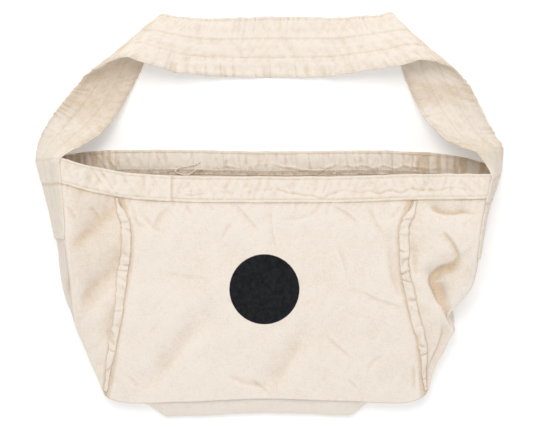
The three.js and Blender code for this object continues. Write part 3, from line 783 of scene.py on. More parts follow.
def blurred(values, cells):
    """A box blur of a grid, over some cells each way."""
    for axis in (0, 1):
        size = values.shape[axis]
        padded = np.concatenate([np.zeros_like(values.take([0], axis)), np.cumsum(values, axis)], axis)
        place = np.arange(size)
        high = np.minimum(place + cells + 1, size)
        low = np.maximum(place - cells, 0)
        count = (high - low).reshape([-1, 1] if axis == 0 else [1, -1])
        values = (padded.take(high, axis) - padded.take(low, axis)) / count
    return values


def painted_hollow_shade(height, spacing, strength=1.0):
    """Painted shade in the hollows of the wrinkles and painted highlight on their crests: browner cloth in
    the hollows, paler on the crests.
    """
    fine = blurred(height, int(round(5 / spacing))) - height
    broad = blurred(height, int(round(26 / spacing))) - height
    return np.clip(strength * (0.2 * fine + 0.03 * broad), -0.1, 0.45)


def shaded_places(turn, down, depth_mm, points):
    """Painted shade: browner cloth where light bounces between folds: beside seams, under the hem, in
    gussets.
    """
    painted_shade = 0.5 * np.exp(-np.maximum(depth_mm - HEM_HEIGHT, 0) / 2.6)
    for line in (LINE["seam_left"], LINE["seam_right"]):
        per_turn = np.linalg.norm(cloth(turn + 0.01, down) - cloth(turn - 0.01, down), axis=-1) / 0.02
        away = np.abs(turn - line) * per_turn
        painted_shade = painted_shade + 0.4 * np.exp(-(away / (SEAM_WIDTH / 2 + 2.0)) ** 6)
    left = smooth(LINE["crease_left"] - 0.1, LINE["crease_left"] + 0.5, turn)
    left = left * (1 - smooth(LINE["seam_left"] - 0.2, LINE["seam_left"], turn))
    right = smooth(LINE["seam_right"], LINE["seam_right"] + 0.2, turn)
    right = right * (1 - smooth(LINE["crease_right"] - 0.5, LINE["crease_right"], turn))
    upper = np.exp(-((depth_mm - 90) / 90) ** 2)
    painted_shade = painted_shade + 0.17 * left * (0.4 + upper) + 0.07 * right
    # painted shadow in the hollow of the right gusset's fold and in the dark slit of the left gusset
    tip = np.exp(-((points[..., 0] - 268) / 16) ** 2 - ((points[..., 1] + 142) / 26) ** 2)
    slit = np.exp(-((points[..., 0] + 294) / 5) ** 2 - ((points[..., 1] + 162) / 15) ** 2)
    return painted_shade + 0.16 * tip + 0.4 * slit


def panel(name, start, stop, spacing, tint=1.2):
    """A cloth panel between two lines, from under the hem to the bottom edge."""
    turns, lengths = even_turns(start, stop, 0.5, spacing)
    top = down_share(turns, HEM_HEIGHT + GAP)
    rows = int(FRONT_HEIGHT / spacing)
    share = np.linspace(0, 1, rows + 1)
    down = mix(top[:, None], 1.0, share[None, :])
    turn = np.repeat(turns[:, None], rows + 1, axis=1)
    width = lengths[-1]
    inset = (turns[-1] - turns[0]) / width * GAP / 2
    turn[0] += inset
    turn[-1] -= inset
    depth_mm = down / down_share(turns, 1.0)[:, None]
    points, normals, height = outer_face(turn, down, depth_mm)
    outer = settle(points + normals * height[..., None])
    inner = settle(points + normals * (height[..., None] - CLOTH), CLOTH)
    places = np.stack([np.repeat(lengths[:, None], rows + 1, axis=1), depth_mm], -1)
    spacing = width / (len(turns) - 1)
    # painted shade in the hollows of the wrinkles and folds and in the shaded places, carried in "crease"
    shown = height + 0.5 * fold_share(points, turn, down)
    painted_shade = shaded_places(turn, down, depth_mm, points)
    return sheet_solid(name, outer, inner, places, painted_hollow_shade(shown, spacing, tint) + painted_shade)


HEM_PROFILE_STEP = 1.5

# The ends of the hem's laps: x, and how much painted shade browns the cloth in a line there
FRONT_LAPS = ((-142.0, 0.55), (-181.0, 0.15))
BACK_LAPS = ((186.5, 0.5), (202.0, 0.25), (-228.0, 0.4))


def hem_profile():
    """Depth below the rim and distance outside the cloth, round the hem's own section."""
    steps = int(HEM_HEIGHT / HEM_PROFILE_STEP)
    lip = HEM_HEIGHT + 1.8
    inner = HEM_PROUD - HEM_THICKNESS
    outside = [(mix(0.9, lip - 0.3, i / steps), HEM_PROUD) for i in range(steps + 1)]
    edge = [(lip, 0.7), (lip - 0.3, 0.3), (HEM_HEIGHT, 0.25), (HEM_HEIGHT - 0.1, inner)]
    inside = [(mix(HEM_HEIGHT - 1.5, 0.9, i / steps), inner) for i in range(steps + 1)]
    rim = [(0.25, inner + 0.6), (0.0, -0.8), (0.25, 0.5)]
    return np.array(outside + edge + inside + rim)


def mouth_hem():
    """The doubled band round the mouth."""
    turns, lengths = even_turns(0.0, float(LINES), 0.05, 1.9)
    turns = turns[:-1]
    profile = hem_profile()
    depth_mm = np.repeat(profile[None, :, 0], len(turns), axis=0)
    turn = np.repeat(turns[:, None], len(profile), axis=1)
    sway = line_noise(lengths[:-1] / 17, 31)[:, None] * 0.9
    down = (depth_mm + sway * (1 - depth_mm / HEM_HEIGHT)) * down_share(turns, 1.0)[:, None]
    points, normals, height = outer_face(turn, down, depth_mm)
    lap = hem_laps(turns)[:, None]
    outward = profile[None, :, 1]
    is_out = outward > 0
    distance = outward + np.where(is_out, lap, 0) + height
    on_floor = smooth(17.4, 18.2, turn) + 1 - smooth(1.8, 2.6, turn)
    inner_puff, painted_pleat_shade = inside_puff(turns, lengths[:-1], profile[:, 0])
    puff = np.where(outward < -1, on_floor * (lap + inner_puff), 0)
    shell = points + normals * (distance - puff)[..., None]
    low = np.where(outward < -1, HEM_THICKNESS - 0.8, 0.0) * np.ones_like(turn)
    shell = settle(shell, np.maximum(low + puff, 0))
    count = len(profile)
    rows = len(turns)
    index = np.arange(rows * count).reshape(rows, count)
    closed = np.concatenate([index, index[:, :1]], axis=1)
    a = closed[:, :-1]
    b = np.roll(closed, -1, axis=0)[:, :-1]
    c = np.roll(closed, -1, axis=0)[:, 1:]
    d = closed[:, 1:]
    faces = np.stack([a, b, c, d], -1).reshape(-1, 4)
    obj = link("hem_round_mouth", shell.reshape(-1, 3), faces)
    face_out(obj)
    around = np.repeat(lengths[:-1, None], count, axis=1)
    add_uv(obj, np.stack([around, depth_mm], -1).reshape(-1, 2))
    # painted shade: browner in the hem's wrinkles, under its lower edge, along its stitch rows, pleats and
    # lap ends;
    shown = height + np.where(is_out, lap * 2.5, 0)
    # painted light: its inner face is made a little paler
    lip = 0.4 * smooth(HEM_HEIGHT + 0.8, HEM_HEIGHT + 1.6, depth_mm)
    rows = 0.22 * row_dents(depth_mm, HEM_ROWS, 1.3)
    creases = painted_hollow_shade(shown, 1.7, 1.1) + painted_hollow_shade(puff * (outward < -1), 1.7, 1.6)
    front = smooth(6, 6.5, turns) * (1 - smooth(13.5, 14, turns))
    x = points[..., 0]
    front_end = sum(depth * np.exp(-((x - place) / 1.3) ** 2) for place, depth in FRONT_LAPS)
    back_end = sum(depth * np.exp(-((x - place) / 1.3) ** 2) for place, depth in BACK_LAPS)
    inside = (0.45 * painted_pleat_shade + back_end * (1 - front[:, None]) - 0.1) * (outward < -1)
    lines = lip + rows + front_end * (front[:, None] * is_out) + inside
    add_values(obj, "crease", np.clip(creases + lines, -0.1, 0.5))
    return obj


def hem_laps(turns):
    """Where the hem band's own ends lap, it is one cloth thicker."""
    points = cloth(turns, np.full_like(turns, 0.05))
    x = points[:, 0]
    upper = smooth(6, 6.5, turns) * (1 - smooth(13.5, 14, turns))
    front = upper * smooth(-183, -181, x) * (1 - smooth(-144, -142.6, x))
    back = (1 - upper) * (smooth(185.5, 187.5, x) * (1 - smooth(201, 203, x)) + smooth(-229, -227.5, x))
    return 0.8 * front + 0.8 * back


def inside_puff(turns, along, depth):
    """Puckers that show on the inside of the back hem, and painted shade along the dips of their pleats."""
    place = along[:, None] + 0.12 * depth[None, :]
    wave = line_noise(place / 11, 41) * 0.9 + line_noise(place / 5.5, 42) * 0.4
    other = along[:, None] - 0.1 * depth[None, :]
    pleats = crimps(place / 8.5, 43, 0.24) * 2.2 + crimps(other / 11, 44) * 1.6
    corners = smooth(0.9, 1.35, np.abs(turns + np.where(turns > LINES / 2, -LINES, 0)))[:, None]
    pleats = pleats * (1 + 0.8 * corners)
    band = np.sin(np.clip(depth / HEM_HEIGHT, 0, 1) * math.pi)[None, :]
    upper_row, lower_row = INSIDE_ROWS
    rows = np.exp(-((depth - upper_row) / 1.2) ** 2) + np.exp(-((depth - lower_row) / 1.4) ** 2)
    raw_edge = RAW_EDGE + 0.9 * line_noise(along / 6, 45)[:, None]
    step = 1.5 * smooth(raw_edge, raw_edge + 1.2, depth[None, :])
    puff = np.clip((1.7 + wave + pleats) * mix(0.35, 1, band) - 0.7 * rows[None, :], 0, 3)
    # painted shade along the dips of the pleats
    lines = np.clip(-pleats / 2.2, 0, 1) * (0.25 + corners)
    return puff * (1 - 0.4 * step) - step, lines


SEAM_SECTION = (  # across and up, as shares of the half width and the height
    (-1.0, -0.1), (-1.06, 0.3), (-1.0, 0.62), (-0.82, 0.86), (-0.55, 0.96), (-0.2, 0.94), (0.15, 0.97),
    (0.5, 1.0), (0.78, 0.92), (0.98, 0.7), (1.06, 0.38), (1.0, -0.1),
)
PLEAT = 19.0  # millimetres between the pleats across a raised seam


def raised_seam(name, line, lean):
    """A pinched seam that stands along one side of the front panel."""
    rows = int(FRONT_HEIGHT * 0.87 / 1.2)
    share = np.linspace(0, 1, rows + 1)
    turns = np.full(rows + 1, float(line))
    start = down_share(turns[:1], HEM_HEIGHT + 2.8)[0]
    down = mix(start, 0.978, share)
    depth_mm = down / down_share(turns, 1.0)
    step = 0.01
    per_turn = np.linalg.norm(cloth(turns + step, down) - cloth(turns - step, down), axis=-1) / (2 * step)
    taper = smooth(0.02, 0.1, share) * (1 - 0.62 * smooth(0.66, 0.95, share))
    beat = depth_mm / PLEAT + line_noise(depth_mm / 26, 56 + line) * 1.3
    slanted = beat[:, None] + 0.26 * np.cos(1.7 * beat)[:, None] * np.array(SEAM_SECTION)[None, :, 0]
    pleat = np.exp(-((slanted - np.round(slanted)) / 0.13) ** 2)
    depth_of = 0.2 + 0.5 * np.abs(lattice(np.round(slanted).astype(np.int64), line, 3, 57))
    lump = line_noise(depth_mm / 9, 51 + line)
    sway = line_noise(depth_mm / 34, 53 + line) * 3.2 + lean * (1 - taper)
    half = SEAM_WIDTH / 2 * (1.08 + 0.2 * lump - 0.1 * pleat.mean(1)) * mix(0.24, 1, taper)
    high = SEAM_HEIGHT * (0.82 + 0.2 * lump) * mix(0.6, 1, taper)
    section_x, section_z = np.array(SEAM_SECTION).T
    reach = smooth(-0.3, 0.5, np.cos(beat[:, None] * 2.6) * section_x + 0.45)
    skew = 1 - pleat * depth_of * (0.25 + 0.75 * reach)
    tilt = 0.22 * line_noise(depth_mm / 15, 54 + line)
    upward = np.maximum(section_z * high[:, None] * np.where(section_z > 0.3, skew, 1), -0.4)
    upward = upward * (1 + tilt[:, None] * section_x)
    sideways = section_x * half[:, None] + tilt[:, None] * upward * 1.5 + sway[:, None]
    turn = turns[:, None] + sideways / per_turn[:, None]
    columns = len(section_x)
    downs = np.repeat(down[:, None], columns, axis=1)
    depths = np.repeat(depth_mm[:, None], columns, axis=1)
    points, normals, height = outer_face(turn, downs, depths)
    shell = settle(points + normals * (height + upward + GAP)[..., None])
    faces = [grid_faces(rows + 1, columns)]
    index = np.arange((rows + 1) * columns).reshape(rows + 1, columns)
    faces.append(np.stack([index[:-1, -1], index[1:, -1], index[1:, 0], index[:-1, 0]], -1))
    faces = [tuple(face) for face in np.concatenate(faces)]
    faces.append(tuple(index[0]))
    faces.append(tuple(index[-1][::-1]))
    obj = link(name, shell.reshape(-1, 3), np.array(faces, dtype=object))
    face_out(obj)
    around = section_x * SEAM_WIDTH / 2 + np.zeros_like(depths)
    add_uv(obj, np.stack([around, depths], -1).reshape(-1, 2))
    # painted shade: the seam's flanks and the dips of its pleats are browned as where they are shaded
    flank_shade = 0.5 * smooth(0.85, 0.25, section_z)
    add_values(obj, "crease", np.clip(flank_shade + 0.5 * pleat * depth_of * reach, 0, 0.5))
    return obj


def bottom_curve(turn, back):
    """The bottom panel's outer face, from the front's bottom edge down, out and back under."""
    edge = cloth(turn, np.ones_like(turn)) - cloth_normal(turn, np.ones_like(turn)) * (CLOTH + GAP)
    edge[..., 2] = np.maximum(edge[..., 2], CLOTH + GAP)
    share = (turn - LINE["floor_left"]) / (LINE["floor_right"] - LINE["floor_left"])
    seams = cloth(np.array([LINE["seam_left"], LINE["seam_right"]], float), np.ones(2))[:, 0]
    across = (edge[..., 0] - seams[0]) / (seams[1] - seams[0])
    swell = smooth(0.11, 0.2, across) * (1 - smooth(0.76, 0.84, across))
    stop = cloth(mix(LINE["back_left"], LINE["back_right"] - LINES, share), np.ones_like(turn))
    foot = mix(edge, stop, 0.13)
    foot[..., 2] = 0
    belly = edge.copy()
    belly[..., 2] *= 0.36
    belly[..., 1] -= BOTTOM_BULGE * swell
    foot[..., 1] -= BOTTOM_BULGE * swell * 0.75
    top = edge.copy()
    top[..., 1] -= GAP
    end = stop.copy()
    end[..., 1] -= GAP
    end[..., 2] = 0
    knots = [2 * top - belly, top, belly, foot, end, 2 * end - foot]
    found = np.zeros(turn.shape + (3,))
    part = np.clip(back * 3, 0, 2.9999999)
    for segment in range(3):
        inside = (np.floor(part) == segment)[..., None]
        curve = hermite(*knots[segment:segment + 4], part - segment)
        found = np.where(inside, curve, found)
    return found


def bottom_panel():
    """The bottom panel as a closed sheet."""
    turns, lengths = even_turns(LINE["floor_left"] + 0.5, LINE["floor_right"] - 0.5, 1.0, 2.3)
    back = np.linspace(0, 1, 54)
    turn = np.repeat(turns[:, None], len(back), axis=1)
    share = np.repeat(back[None, :], len(turns), axis=0)
    points = bottom_curve(turn, share)
    round_it = np.gradient(points, axis=0)
    along = np.gradient(points, axis=1)
    normals = unit(np.cross(along, round_it))
    held = smooth(0, 0.12, share)
    height = (noise(points / 26, 61) * 1.3 + noise(points / 10, 62) * 0.4) * held
    gather = line_noise(points[..., 0] / 9, 63) * 0.8 * (1 - smooth(0.05, 0.3, share))
    height = np.minimum((height + gather) * held, 1.5)
    outer = settle(points + normals * height[..., None])
    inner = settle(points + normals * (height[..., None] - CLOTH), 0.0)
    inner[..., 2] = np.maximum(inner[..., 2], CLOTH * share)
    places = np.stack([np.repeat(lengths[:, None], len(back), axis=1), share * 110], -1)
    # painted shade near the front's bottom edge, and painted light that makes the whole strip a little
    # paler
    return sheet_solid("bottom_cloth", outer, inner, places, painted_hollow_shade(height, 2.3) + 0.1 * (1 - held) - 0.06)


# Strap


def sewn_row(floor_line, crease_line, below, across):
    """One row across the strap where it is sewn to a side wall."""
    over_hem = 1 - smooth(HEM_HEIGHT, HEM_HEIGHT + 4, below)
    distance = STRAP_GAP + STRAP_THICKNESS / 2 + HEM_PROUD * over_hem
    turn = mix(floor_line, crease_line, mix(0.06, 0.99, across))
    down = down_share(turn, below)
    found = cloth(turn, down) + cloth_normal(turn, down) * distance
    found[:, 2] = np.maximum(found[:, 2], 0)
    return found


def strap_rows(across):
    """Points across the strap at each of its rows: sewn, free and sewn again."""
    rows = []
    for share in SEWN_DEPTHS:
        rows.append(sewn_row(LINE["floor_left"], LINE["crease_left"], SEWN_LEFT * share, across))
    for x, y, z, side, ahead, up in STRAP_ROWS:
        edge = np.array([MIDDLE + HALF_SPAN * x, BACK_LEAD + STRAP_RISE * y, ROLL_HEIGHT * z])
        ruling = np.array([side, ahead, up]) * STRAP_WIDTH
        rows.append(edge + ruling * across[:, None])
    for share in reversed(SEWN_DEPTHS):
        rows.append(sewn_row(LINE["floor_right"], LINE["crease_right"], SEWN_RIGHT * share, across))
    return np.stack(rows)


def strap_face(across, along):
    """The strap's middle face, as a grid: across it, and along it in whole rows."""
    rows = strap_rows(across)
    rows = np.concatenate([2 * rows[:1] - rows[1:2], rows, 2 * rows[-1:] - rows[-2:-1]])
    along = np.clip(along, 0, len(rows) - 3 - 1e-9)
    segment = np.floor(along).astype(int)
    corners = [rows[segment + step].transpose(1, 0, 2) for step in range(4)]
    t = np.repeat((along - segment)[None, :], len(across), axis=0)
    return hermite(*corners, t)


STRAP_STITCHES = (0.035, 0.335, 0.64, 0.965)  # stitch rows, as shares of the strap's width


def strap_relief(across, length, points):
    """Puckers along the strap's stitched edges, lengthwise creases and soft crumple."""
    wide = across * STRAP_WIDTH
    edge_a = np.exp(-wide / 17)
    edge_b = np.exp(-(STRAP_WIDTH - wide) / 17)
    run_a = line_noise(length / 11 + across * 2, 71)
    run_b = line_noise(length / 12 - across * 2, 72)
    height = edge_a * run_a * 1.6 + edge_b * run_b * 1.2
    height += edge_a * crimps(length / 9 + across * 1.2, 77) * 3.0
    height += edge_b * crimps(length / 10 - across * 1.4, 78) * 2.4
    height += crimps(wide / 15 + line_noise(length / 60, 79) * 0.6, 80, 0.12) * 0.9
    spread = np.stack([length / 70, wide / 13, np.zeros_like(wide)], -1)
    height += noise(spread, 73) * 1.5
    cross = np.stack([(length + 0.5 * wide) / 13, wide / 34, np.zeros_like(wide)], -1)
    height += noise(cross, 74) * 1.5
    other = np.stack([(length - 0.7 * wide) / 9, wide / 26, np.zeros_like(wide)], -1)
    height += noise(other, 75) * 0.7
    height += noise(points / 12, 76) * 0.35
    for place in STRAP_STITCHES:
        height -= 0.4 * np.exp(-((wide - place * STRAP_WIDTH) / 1.3) ** 2)
    return height


def strap_sample():
    """Even places along the strap's middle, and their lengths."""
    coarse = np.linspace(0, len(SEWN_DEPTHS) * 2 + len(STRAP_ROWS) - 1, 3000)
    middle = strap_face(np.array([0.5]), coarse)[0]
    length = np.concatenate([[0], np.cumsum(np.linalg.norm(np.diff(middle, axis=0), axis=1))])
    even = np.linspace(0, length[-1], int(length[-1] / 2.0))
    return np.interp(even, length, coarse), even


def strap_height(wide, length, points):
    """The strap's own relief, pressed flat where it is sewn to the side walls."""
    from_end = np.minimum(length, length.max() - length)
    free = smooth(SEWN_LEFT, SEWN_LEFT + 45, from_end)
    height = strap_relief(wide, length, points) * mix(0.3, 1.0, free)
    hem_edge = from_end - (SEWN_LEFT - HEM_HEIGHT)
    step = smooth(-1.5, 1.5, hem_edge) * np.exp(-np.maximum(hem_edge, 0) / 16)
    crumple = noise(np.stack([length / 14, wide * 4, np.zeros_like(wide)], -1), 85)
    height = height + (1.4 * step + 0.6 * crumple) * (1 - free)
    return np.where(free < 1, mix(np.abs(height), height, free), height)


def shoulder_strap():
    """The doubled strap as a closed sheet, with its painted shade."""
    along, lengths = strap_sample()
    across = np.linspace(0, 1, 46)
    points = strap_face(across, along)
    normals = unit(np.cross(np.gradient(points, axis=1), np.gradient(points, axis=0)))
    wide = np.repeat(across[:, None], len(along), axis=1)
    length = np.repeat(lengths[None, :], len(across), axis=0)
    height = strap_height(wide, length, points)
    ruffle = np.exp(-wide * STRAP_WIDTH / 5) * line_noise(length / 8, 86)
    ruffle -= np.exp(-(1 - wide) * STRAP_WIDTH / 5) * line_noise(length / 9, 87)
    points = points + unit(np.gradient(points, axis=0)) * (1.3 * ruffle)[..., None]
    thick = STRAP_THICKNESS / 2 * mix(0.55, 1.0, smooth(0, 0.03, np.minimum(wide, 1 - wide)))
    up = settle(points + normals * (height + thick)[..., None])
    under = settle(points + normals * (height - thick)[..., None])
    places = np.stack([wide * STRAP_WIDTH, length], -1)
    # painted shade: steep parts of the strap are browner, as where they turn from the light
    steep = 0.3 * smooth(0.06, 0.7, 1 - np.abs(normals[..., 2]))
    from_end = np.minimum(length, length.max() - length)
    steep = steep * smooth(SEWN_LEFT, SEWN_LEFT + 40, from_end)
    # painted shadow on the legs where the strap's rolls overhang them
    left_leg = smooth(165, 225, length) * (1 - smooth(290, 315, length))
    right_leg = smooth(240, 275, from_end) * (1 - smooth(285, 300, from_end)) * (length > from_end)
    leg_shade = 0.3 * left_leg + 0.32 * right_leg
    # painted shade along the stitch grooves and in lines across the strap at the hem's lower edge and the
    # rim
    rows = sum(np.exp(-((wide - row) * STRAP_WIDTH / 1.6) ** 2) for row in STRAP_STITCHES) * 0.1
    rows = rows + 0.4 * np.exp(-((from_end - (SEWN_LEFT - HEM_HEIGHT) + 3) / 2.0) ** 2)
    rows = rows + 0.3 * np.exp(-((from_end - SEWN_LEFT + 3) / 1.4) ** 2)
    creases = painted_hollow_shade(height, 2.0, 1.15) + steep + leg_shade + rows
    return sheet_solid("strap_cloth", up, under, places, np.clip(creases, -0.1, 0.5))


# Stitches and threads

STITCH = 3.0  # length of one stitch
STITCH_PITCH = 3.9
STITCH_WIDTH = 0.95
BEAD_SECTION = ((0.0, 0.0), (0.18, 0.8), (0.5, 1.0), (0.82, 0.8), (1.0, 0.0))


def stitched(name, rows, material):
    """Rows of stitches as one mesh. Each row is a path of points, with the normals there."""
    points = []
    faces = []
    for path, normals in rows:
        length = np.concatenate([[0], np.cumsum(np.linalg.norm(np.diff(path, axis=0), axis=1))])
        starts = np.arange(0.5 * STITCH_PITCH, length[-1] - STITCH, STITCH_PITCH)
        for index, start in enumerate(starts):
            shift = 0.25 * STITCH * lattice(np.int64(index), np.int64(len(rows)), 5, 81)
            places = start + shift + STITCH * np.array([0.0, 1.0])
            ends = np.stack([np.interp(places, length, path[:, axis]) for axis in range(3)], -1)
            up = unit(np.array([np.interp(places[0], length, normals[:, axis]) for axis in range(3)]))
            ahead = unit(ends[1] - ends[0])
            side = unit(np.cross(up, ahead))
            base = len(points)
            for share, size in BEAD_SECTION:
                middle = mix(ends[0], ends[1], share) + up * (0.15 * STITCH_WIDTH + 0.2 * size)
                if size == 0:
                    points.append(middle - up * 0.5)
                    continue
                for corner in range(4):
                    turn = math.pi / 2 * corner
                    reach = side * math.cos(turn) + up * math.sin(turn) * 0.8
                    points.append(middle + reach * size * STITCH_WIDTH / 2)
            for corner in range(4):
                after = (corner + 1) % 4
                faces.append((base, base + 1 + after, base + 1 + corner))
                for ring in range(2):
                    low = base + 1 + 4 * ring
                    faces.append((low + corner, low + after, low + 4 + after, low + 4 + corner))
                faces.append((base + 9 + corner, base + 9 + after, base + 13))
    placed = np.array(points)
    placed[:, 2] = np.maximum(placed[:, 2], 0)
    obj = link(name, placed, np.array(faces, dtype=object))
    face_out(obj)
    obj.data.materials.append(material)
    return obj


def cloth_row(start, stop, depth, out, step=2.0):
    """A row of stitches round the bag at one depth below the rim, standing out of the cloth."""
    turns = even_turns(start, stop, 0.05 + depth / FRONT_HEIGHT, step)[0]
    down = down_share(turns, 1.0) * depth
    points, normals, height = outer_face(turns, down, np.full_like(turns, depth))
    return points + normals * (height + out)[:, None] + ORIGIN, normals


def bag_stitches(material):
    """The hem's two rows outside the front, and the same two inside the back."""
    out = HEM_PROUD + 0.15
    front = (4.9, 15.2)
    inside = HEM_PROUD - HEM_THICKNESS - 0.2
    rows = [cloth_row(*front, row, out) for row in HEM_ROWS]
    for row in INSIDE_ROWS:
        path, normals = cloth_row(-1.9, 1.6, row, inside)
        path[:, 2] += 1.6
        rows.append((path, -normals))
    return stitched("hem_stitches", rows, material)


def tube(path, radius, sides=5, taper=True):
    """A thin round thread along a path, as points and faces."""
    path = np.array(path, float)
    ahead = unit(np.gradient(path, axis=0))
    side = unit(np.cross(ahead, np.array([0.13, 0.21, 0.97])))
    up = np.cross(side, ahead)
    angles = np.linspace(0, 2 * math.pi, sides, endpoint=False)
    size = np.full(len(path), radius)
    if taper:
        size[0] *= 0.3
        size[-1] *= 0.3
    ring = side[:, None] * np.cos(angles)[None, :, None] + up[:, None] * np.sin(angles)[None, :, None]
    points = (path[:, None] + ring * size[:, None, None]).reshape(-1, 3)
    faces = []
    for row in range(len(path) - 1):
        for corner in range(sides):
            after = (corner + 1) % sides
            low = row * sides
            faces.append((low + corner, low + after, low + sides + after, low + sides + corner))
    faces.append(tuple(range(sides - 1, -1, -1)))
    faces.append(tuple((len(path) - 1) * sides + corner for corner in range(sides)))
    return points, faces


def joined_tubes(name, tubes, material):
    """Several thin threads as one mesh."""
    points = []
    faces = []
    count = 0
    for part, part_faces in tubes:
        points.append(part)
        faces.extend(tuple(corner + count for corner in face) for face in part_faces)
        count += len(part)
    placed = np.concatenate(points)
    placed[:, 2] = np.maximum(placed[:, 2], 0.1)
    obj = link(name, placed, np.array(faces, dtype=object))
    face_out(obj)
    obj.data.materials.append(material)
    return obj


# The thread that has come loose from the back hem: x, y and height above the cloth there
LOOSE_THREAD = (
    (-101, 24, 0.8), (-104, 21.5, 1.6), (-108, 19, 1.8), (-114, 17.5, 1.6), (-118, 16.5, 1.2),
    (-125, 15, 1.0), (-132, 14, 0.9), (-137, 11, 0.9), (-138, 8, 1.0), (-134, 6, 1.2),
    (-128, 4, 1.4), (-121, 3.2, 1.5), (-116, 5, 1.3), (-112, 8, 1.0), (-107, 11, 0.9),
    (-103, 12, 0.9), (-97, 11.5, 0.9),
)


def loose_thread(material):
    """The loop of thread that lies on the back hem."""
    line = catmull(LOOSE_THREAD, 90)
    line[:, 0] += 0.6 * line_noise(np.arange(90) / 7.0, 91)
    line[:, 1] += 0.6 * line_noise(np.arange(90) / 6.0, 92)
    line[:, 2] += 7.4
    return joined_tubes("loose_thread", [tube(line + ORIGIN, 0.85, 6)], material)


def frayed_edge(material):
    """Cut threads that stick out of the raw lower edge inside the back hem."""
    tubes = []
    turns = even_turns(-1.9, 1.4, 0.05, 2.2)[0]
    for index, turn in enumerate(turns):
        picks = [float(lattice(np.int64(index), np.int64(step), 7, 95)) for step in range(5)]
        if picks[0] < -0.2:
            continue
        depth = RAW_EDGE - 1.5
        here = cloth(np.array([turn]), down_share(np.array([turn]), depth))[0] + ORIGIN
        long = 3.5 + 5.0 * abs(picks[1])
        drift = 4.5 * picks[2]
        steps = np.linspace(0, 1, 5)
        path = np.stack([
            here[0] + drift * steps + 0.7 * np.sin(steps * 5 + index),
            here[1] - long * steps,
            6.0 - 1.5 * steps + (1.4 + picks[3]) * np.sin(steps * 3.1),
        ], -1)
        tubes.append(tube(path, 0.42, 3))
    return joined_tubes("frayed_threads", tubes, material)


def strap_stitches(material):
    """The strap's stitch rows, on both of its faces."""
    along, lengths = strap_sample()
    places = np.linspace(0, 1, 46)
    points = strap_face(places, along)
    normals = unit(np.cross(np.gradient(points, axis=1), np.gradient(points, axis=0)))
    wide = np.repeat(places[:, None], len(along), axis=1)
    length = np.repeat(lengths[None, :], len(places), axis=0)
    height = strap_height(wide, length, points)
    rows = []
    for place in STRAP_STITCHES:
        row = place * (len(places) - 1)
        low = int(row)
        share = row - low
        middle = mix(points[low], points[low + 1], share) + ORIGIN
        facing = unit(mix(normals[low], normals[low + 1], share))
        high = mix(height[low], height[low + 1], share)
        for side in (1, -1):
            out = facing * (side * STRAP_THICKNESS / 2 + high)[:, None]
            rows.append((middle + out, facing * side))
    return stitched("strap_stitches", rows, material)


# Scene: camera, floor and light

PIXEL = 1.5  # millimetres of floor for each pixel of the 533 wide picture
PICTURE = (533, 427)
CAMERA_HEIGHT = 3.0
CAMERA_X = -3.9
CAMERA_Y = 0.2


def build_camera():
    """The camera, straight above as in the photo."""
    data = bpy.data.cameras.new("camera")
    data.sensor_width = 36.0
    data.lens = data.sensor_width * CAMERA_HEIGHT / (PICTURE[0] * PIXEL * MM)
    data.clip_end = 20
    camera = bpy.data.objects.new("camera", data)
    camera.location = (CAMERA_X * MM, CAMERA_Y * MM, CAMERA_HEIGHT)
    bpy.context.scene.collection.objects.link(camera)
    bpy.context.scene.camera = camera


def build_floor():
    """A plain pale floor."""
    bpy.ops.object.select_all(action="DESELECT")
    bpy.ops.mesh.primitive_plane_add(size=14, location=(0, 0, -0.0003))
    floor = bpy.context.object
    floor.name = "floor"
    material = bpy.data.materials.new("white sweep")
    material.use_nodes = True
    shader = material.node_tree.nodes["Principled BSDF"]
    shader.inputs["Base Color"].default_value = (0.9, 0.9, 0.9, 1)
    shader.inputs["Emission Color"].default_value = (1, 1, 1, 1)
    shader.inputs["Emission Strength"].default_value = 0.2
    shader.inputs["Roughness"].default_value = 0.9
    shader.inputs["Specular IOR Level"].default_value = 0.1
    floor.data.materials.append(material)


def area_light(name, place, target, size, power, colour):
    """A soft light that faces a target."""
    data = bpy.data.lights.new(name, "AREA")
    data.shape = "RECTANGLE"
    data.size = size[0]
    data.size_y = size[1]
    data.energy = power
    data.color = colour
    light = bpy.data.objects.new(name, data)
    light.location = place
    direction = np.array(target, float) - np.array(place, float)
    pitch = math.atan2(math.hypot(direction[0], direction[1]), -direction[2])
    heading = math.atan2(direction[0], -direction[1])
    light.rotation_euler = (pitch, 0, math.pi + heading)
    bpy.context.scene.collection.objects.link(light)


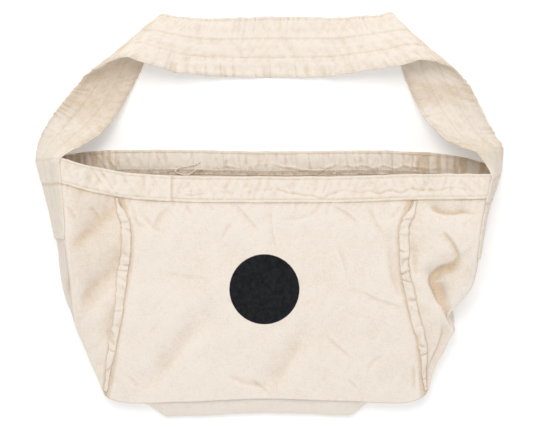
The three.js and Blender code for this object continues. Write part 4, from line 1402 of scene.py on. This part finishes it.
def build_light():
    """Soft studio light from three sides."""
    world = bpy.data.worlds.new("soft room")
    bpy.context.scene.world = world
    world.use_nodes = True
    background = world.node_tree.nodes["Background"]
    background.inputs[0].default_value = (0.98, 0.99, 1, 1)
    background.inputs[1].default_value = 0.58
    area_light("key", (-0.35, 1.35, 3.0), (0, 0, 0), (2.0, 1.6), 45, (1, 0.98, 0.955))
    area_light("rear fill", (0.2, 2.5, 1.5), (0, 0.1, 0), (2.0, 1.2), 12, (1, 0.985, 0.96))
    area_light("fill", (0.1, -2.2, 1.6), (0, -0.1, 0), (2.0, 1.2), 12, (1, 0.985, 0.96))
    bpy.context.scene.view_settings.view_transform = "Standard"


build_camera()
build_floor()
build_light()

plain_canvas = canvas("woven cotton canvas", "#f0e6db", "#c9ac85")
print_canvas = canvas("woven cotton canvas, printed", "#f0e6db", "#c9ac85", printed=True)
hem_canvas = canvas("doubled cotton canvas", "#efe5d9", "#c7a981")
strap_canvas = canvas("strap cotton canvas", "#f0e6da", "#c8ab83")

front = panel("front_cloth", LINE["seam_left"], LINE["seam_right"], 2.2)
finish_piece(front, print_canvas, ["front_panel"])
left = panel("left_gusset_cloth", LINE["back_left"], LINE["seam_left"], 2.4, 1.7)
finish_piece(left, plain_canvas, ["left_gusset"])
right = panel("right_gusset_cloth", LINE["seam_right"], LINE["back_right"], 2.4, 1.7)
finish_piece(right, plain_canvas, ["right_gusset"])
back = panel("back_cloth", LINE["back_right"] - LINES, LINE["back_left"], 4.0)
finish_piece(back, plain_canvas, ["back_panel"])
bottom = bottom_panel()
finish_piece(bottom, plain_canvas, ["bottom_panel"])
hem = mouth_hem()
finish_piece(hem, hem_canvas, ["mouth_hem"])
seam_l = raised_seam("left_raised_seam", LINE["seam_left"], -3.0)
finish_piece(seam_l, hem_canvas, ["front_left_seam"])
seam_r = raised_seam("right_raised_seam", LINE["seam_right"], 4.0)
finish_piece(seam_r, hem_canvas, ["front_right_seam"])
strap = shoulder_strap()
finish_piece(strap, strap_canvas, ["shoulder_strap"])
sewing = sewing_thread("cotton sewing thread", "#fbf5ea")
hem_stitches = bag_stitches(sewing)
strap_rows_sewn = strap_stitches(sewing)
thread = loose_thread(sewing)
fray = frayed_edge(sewing)
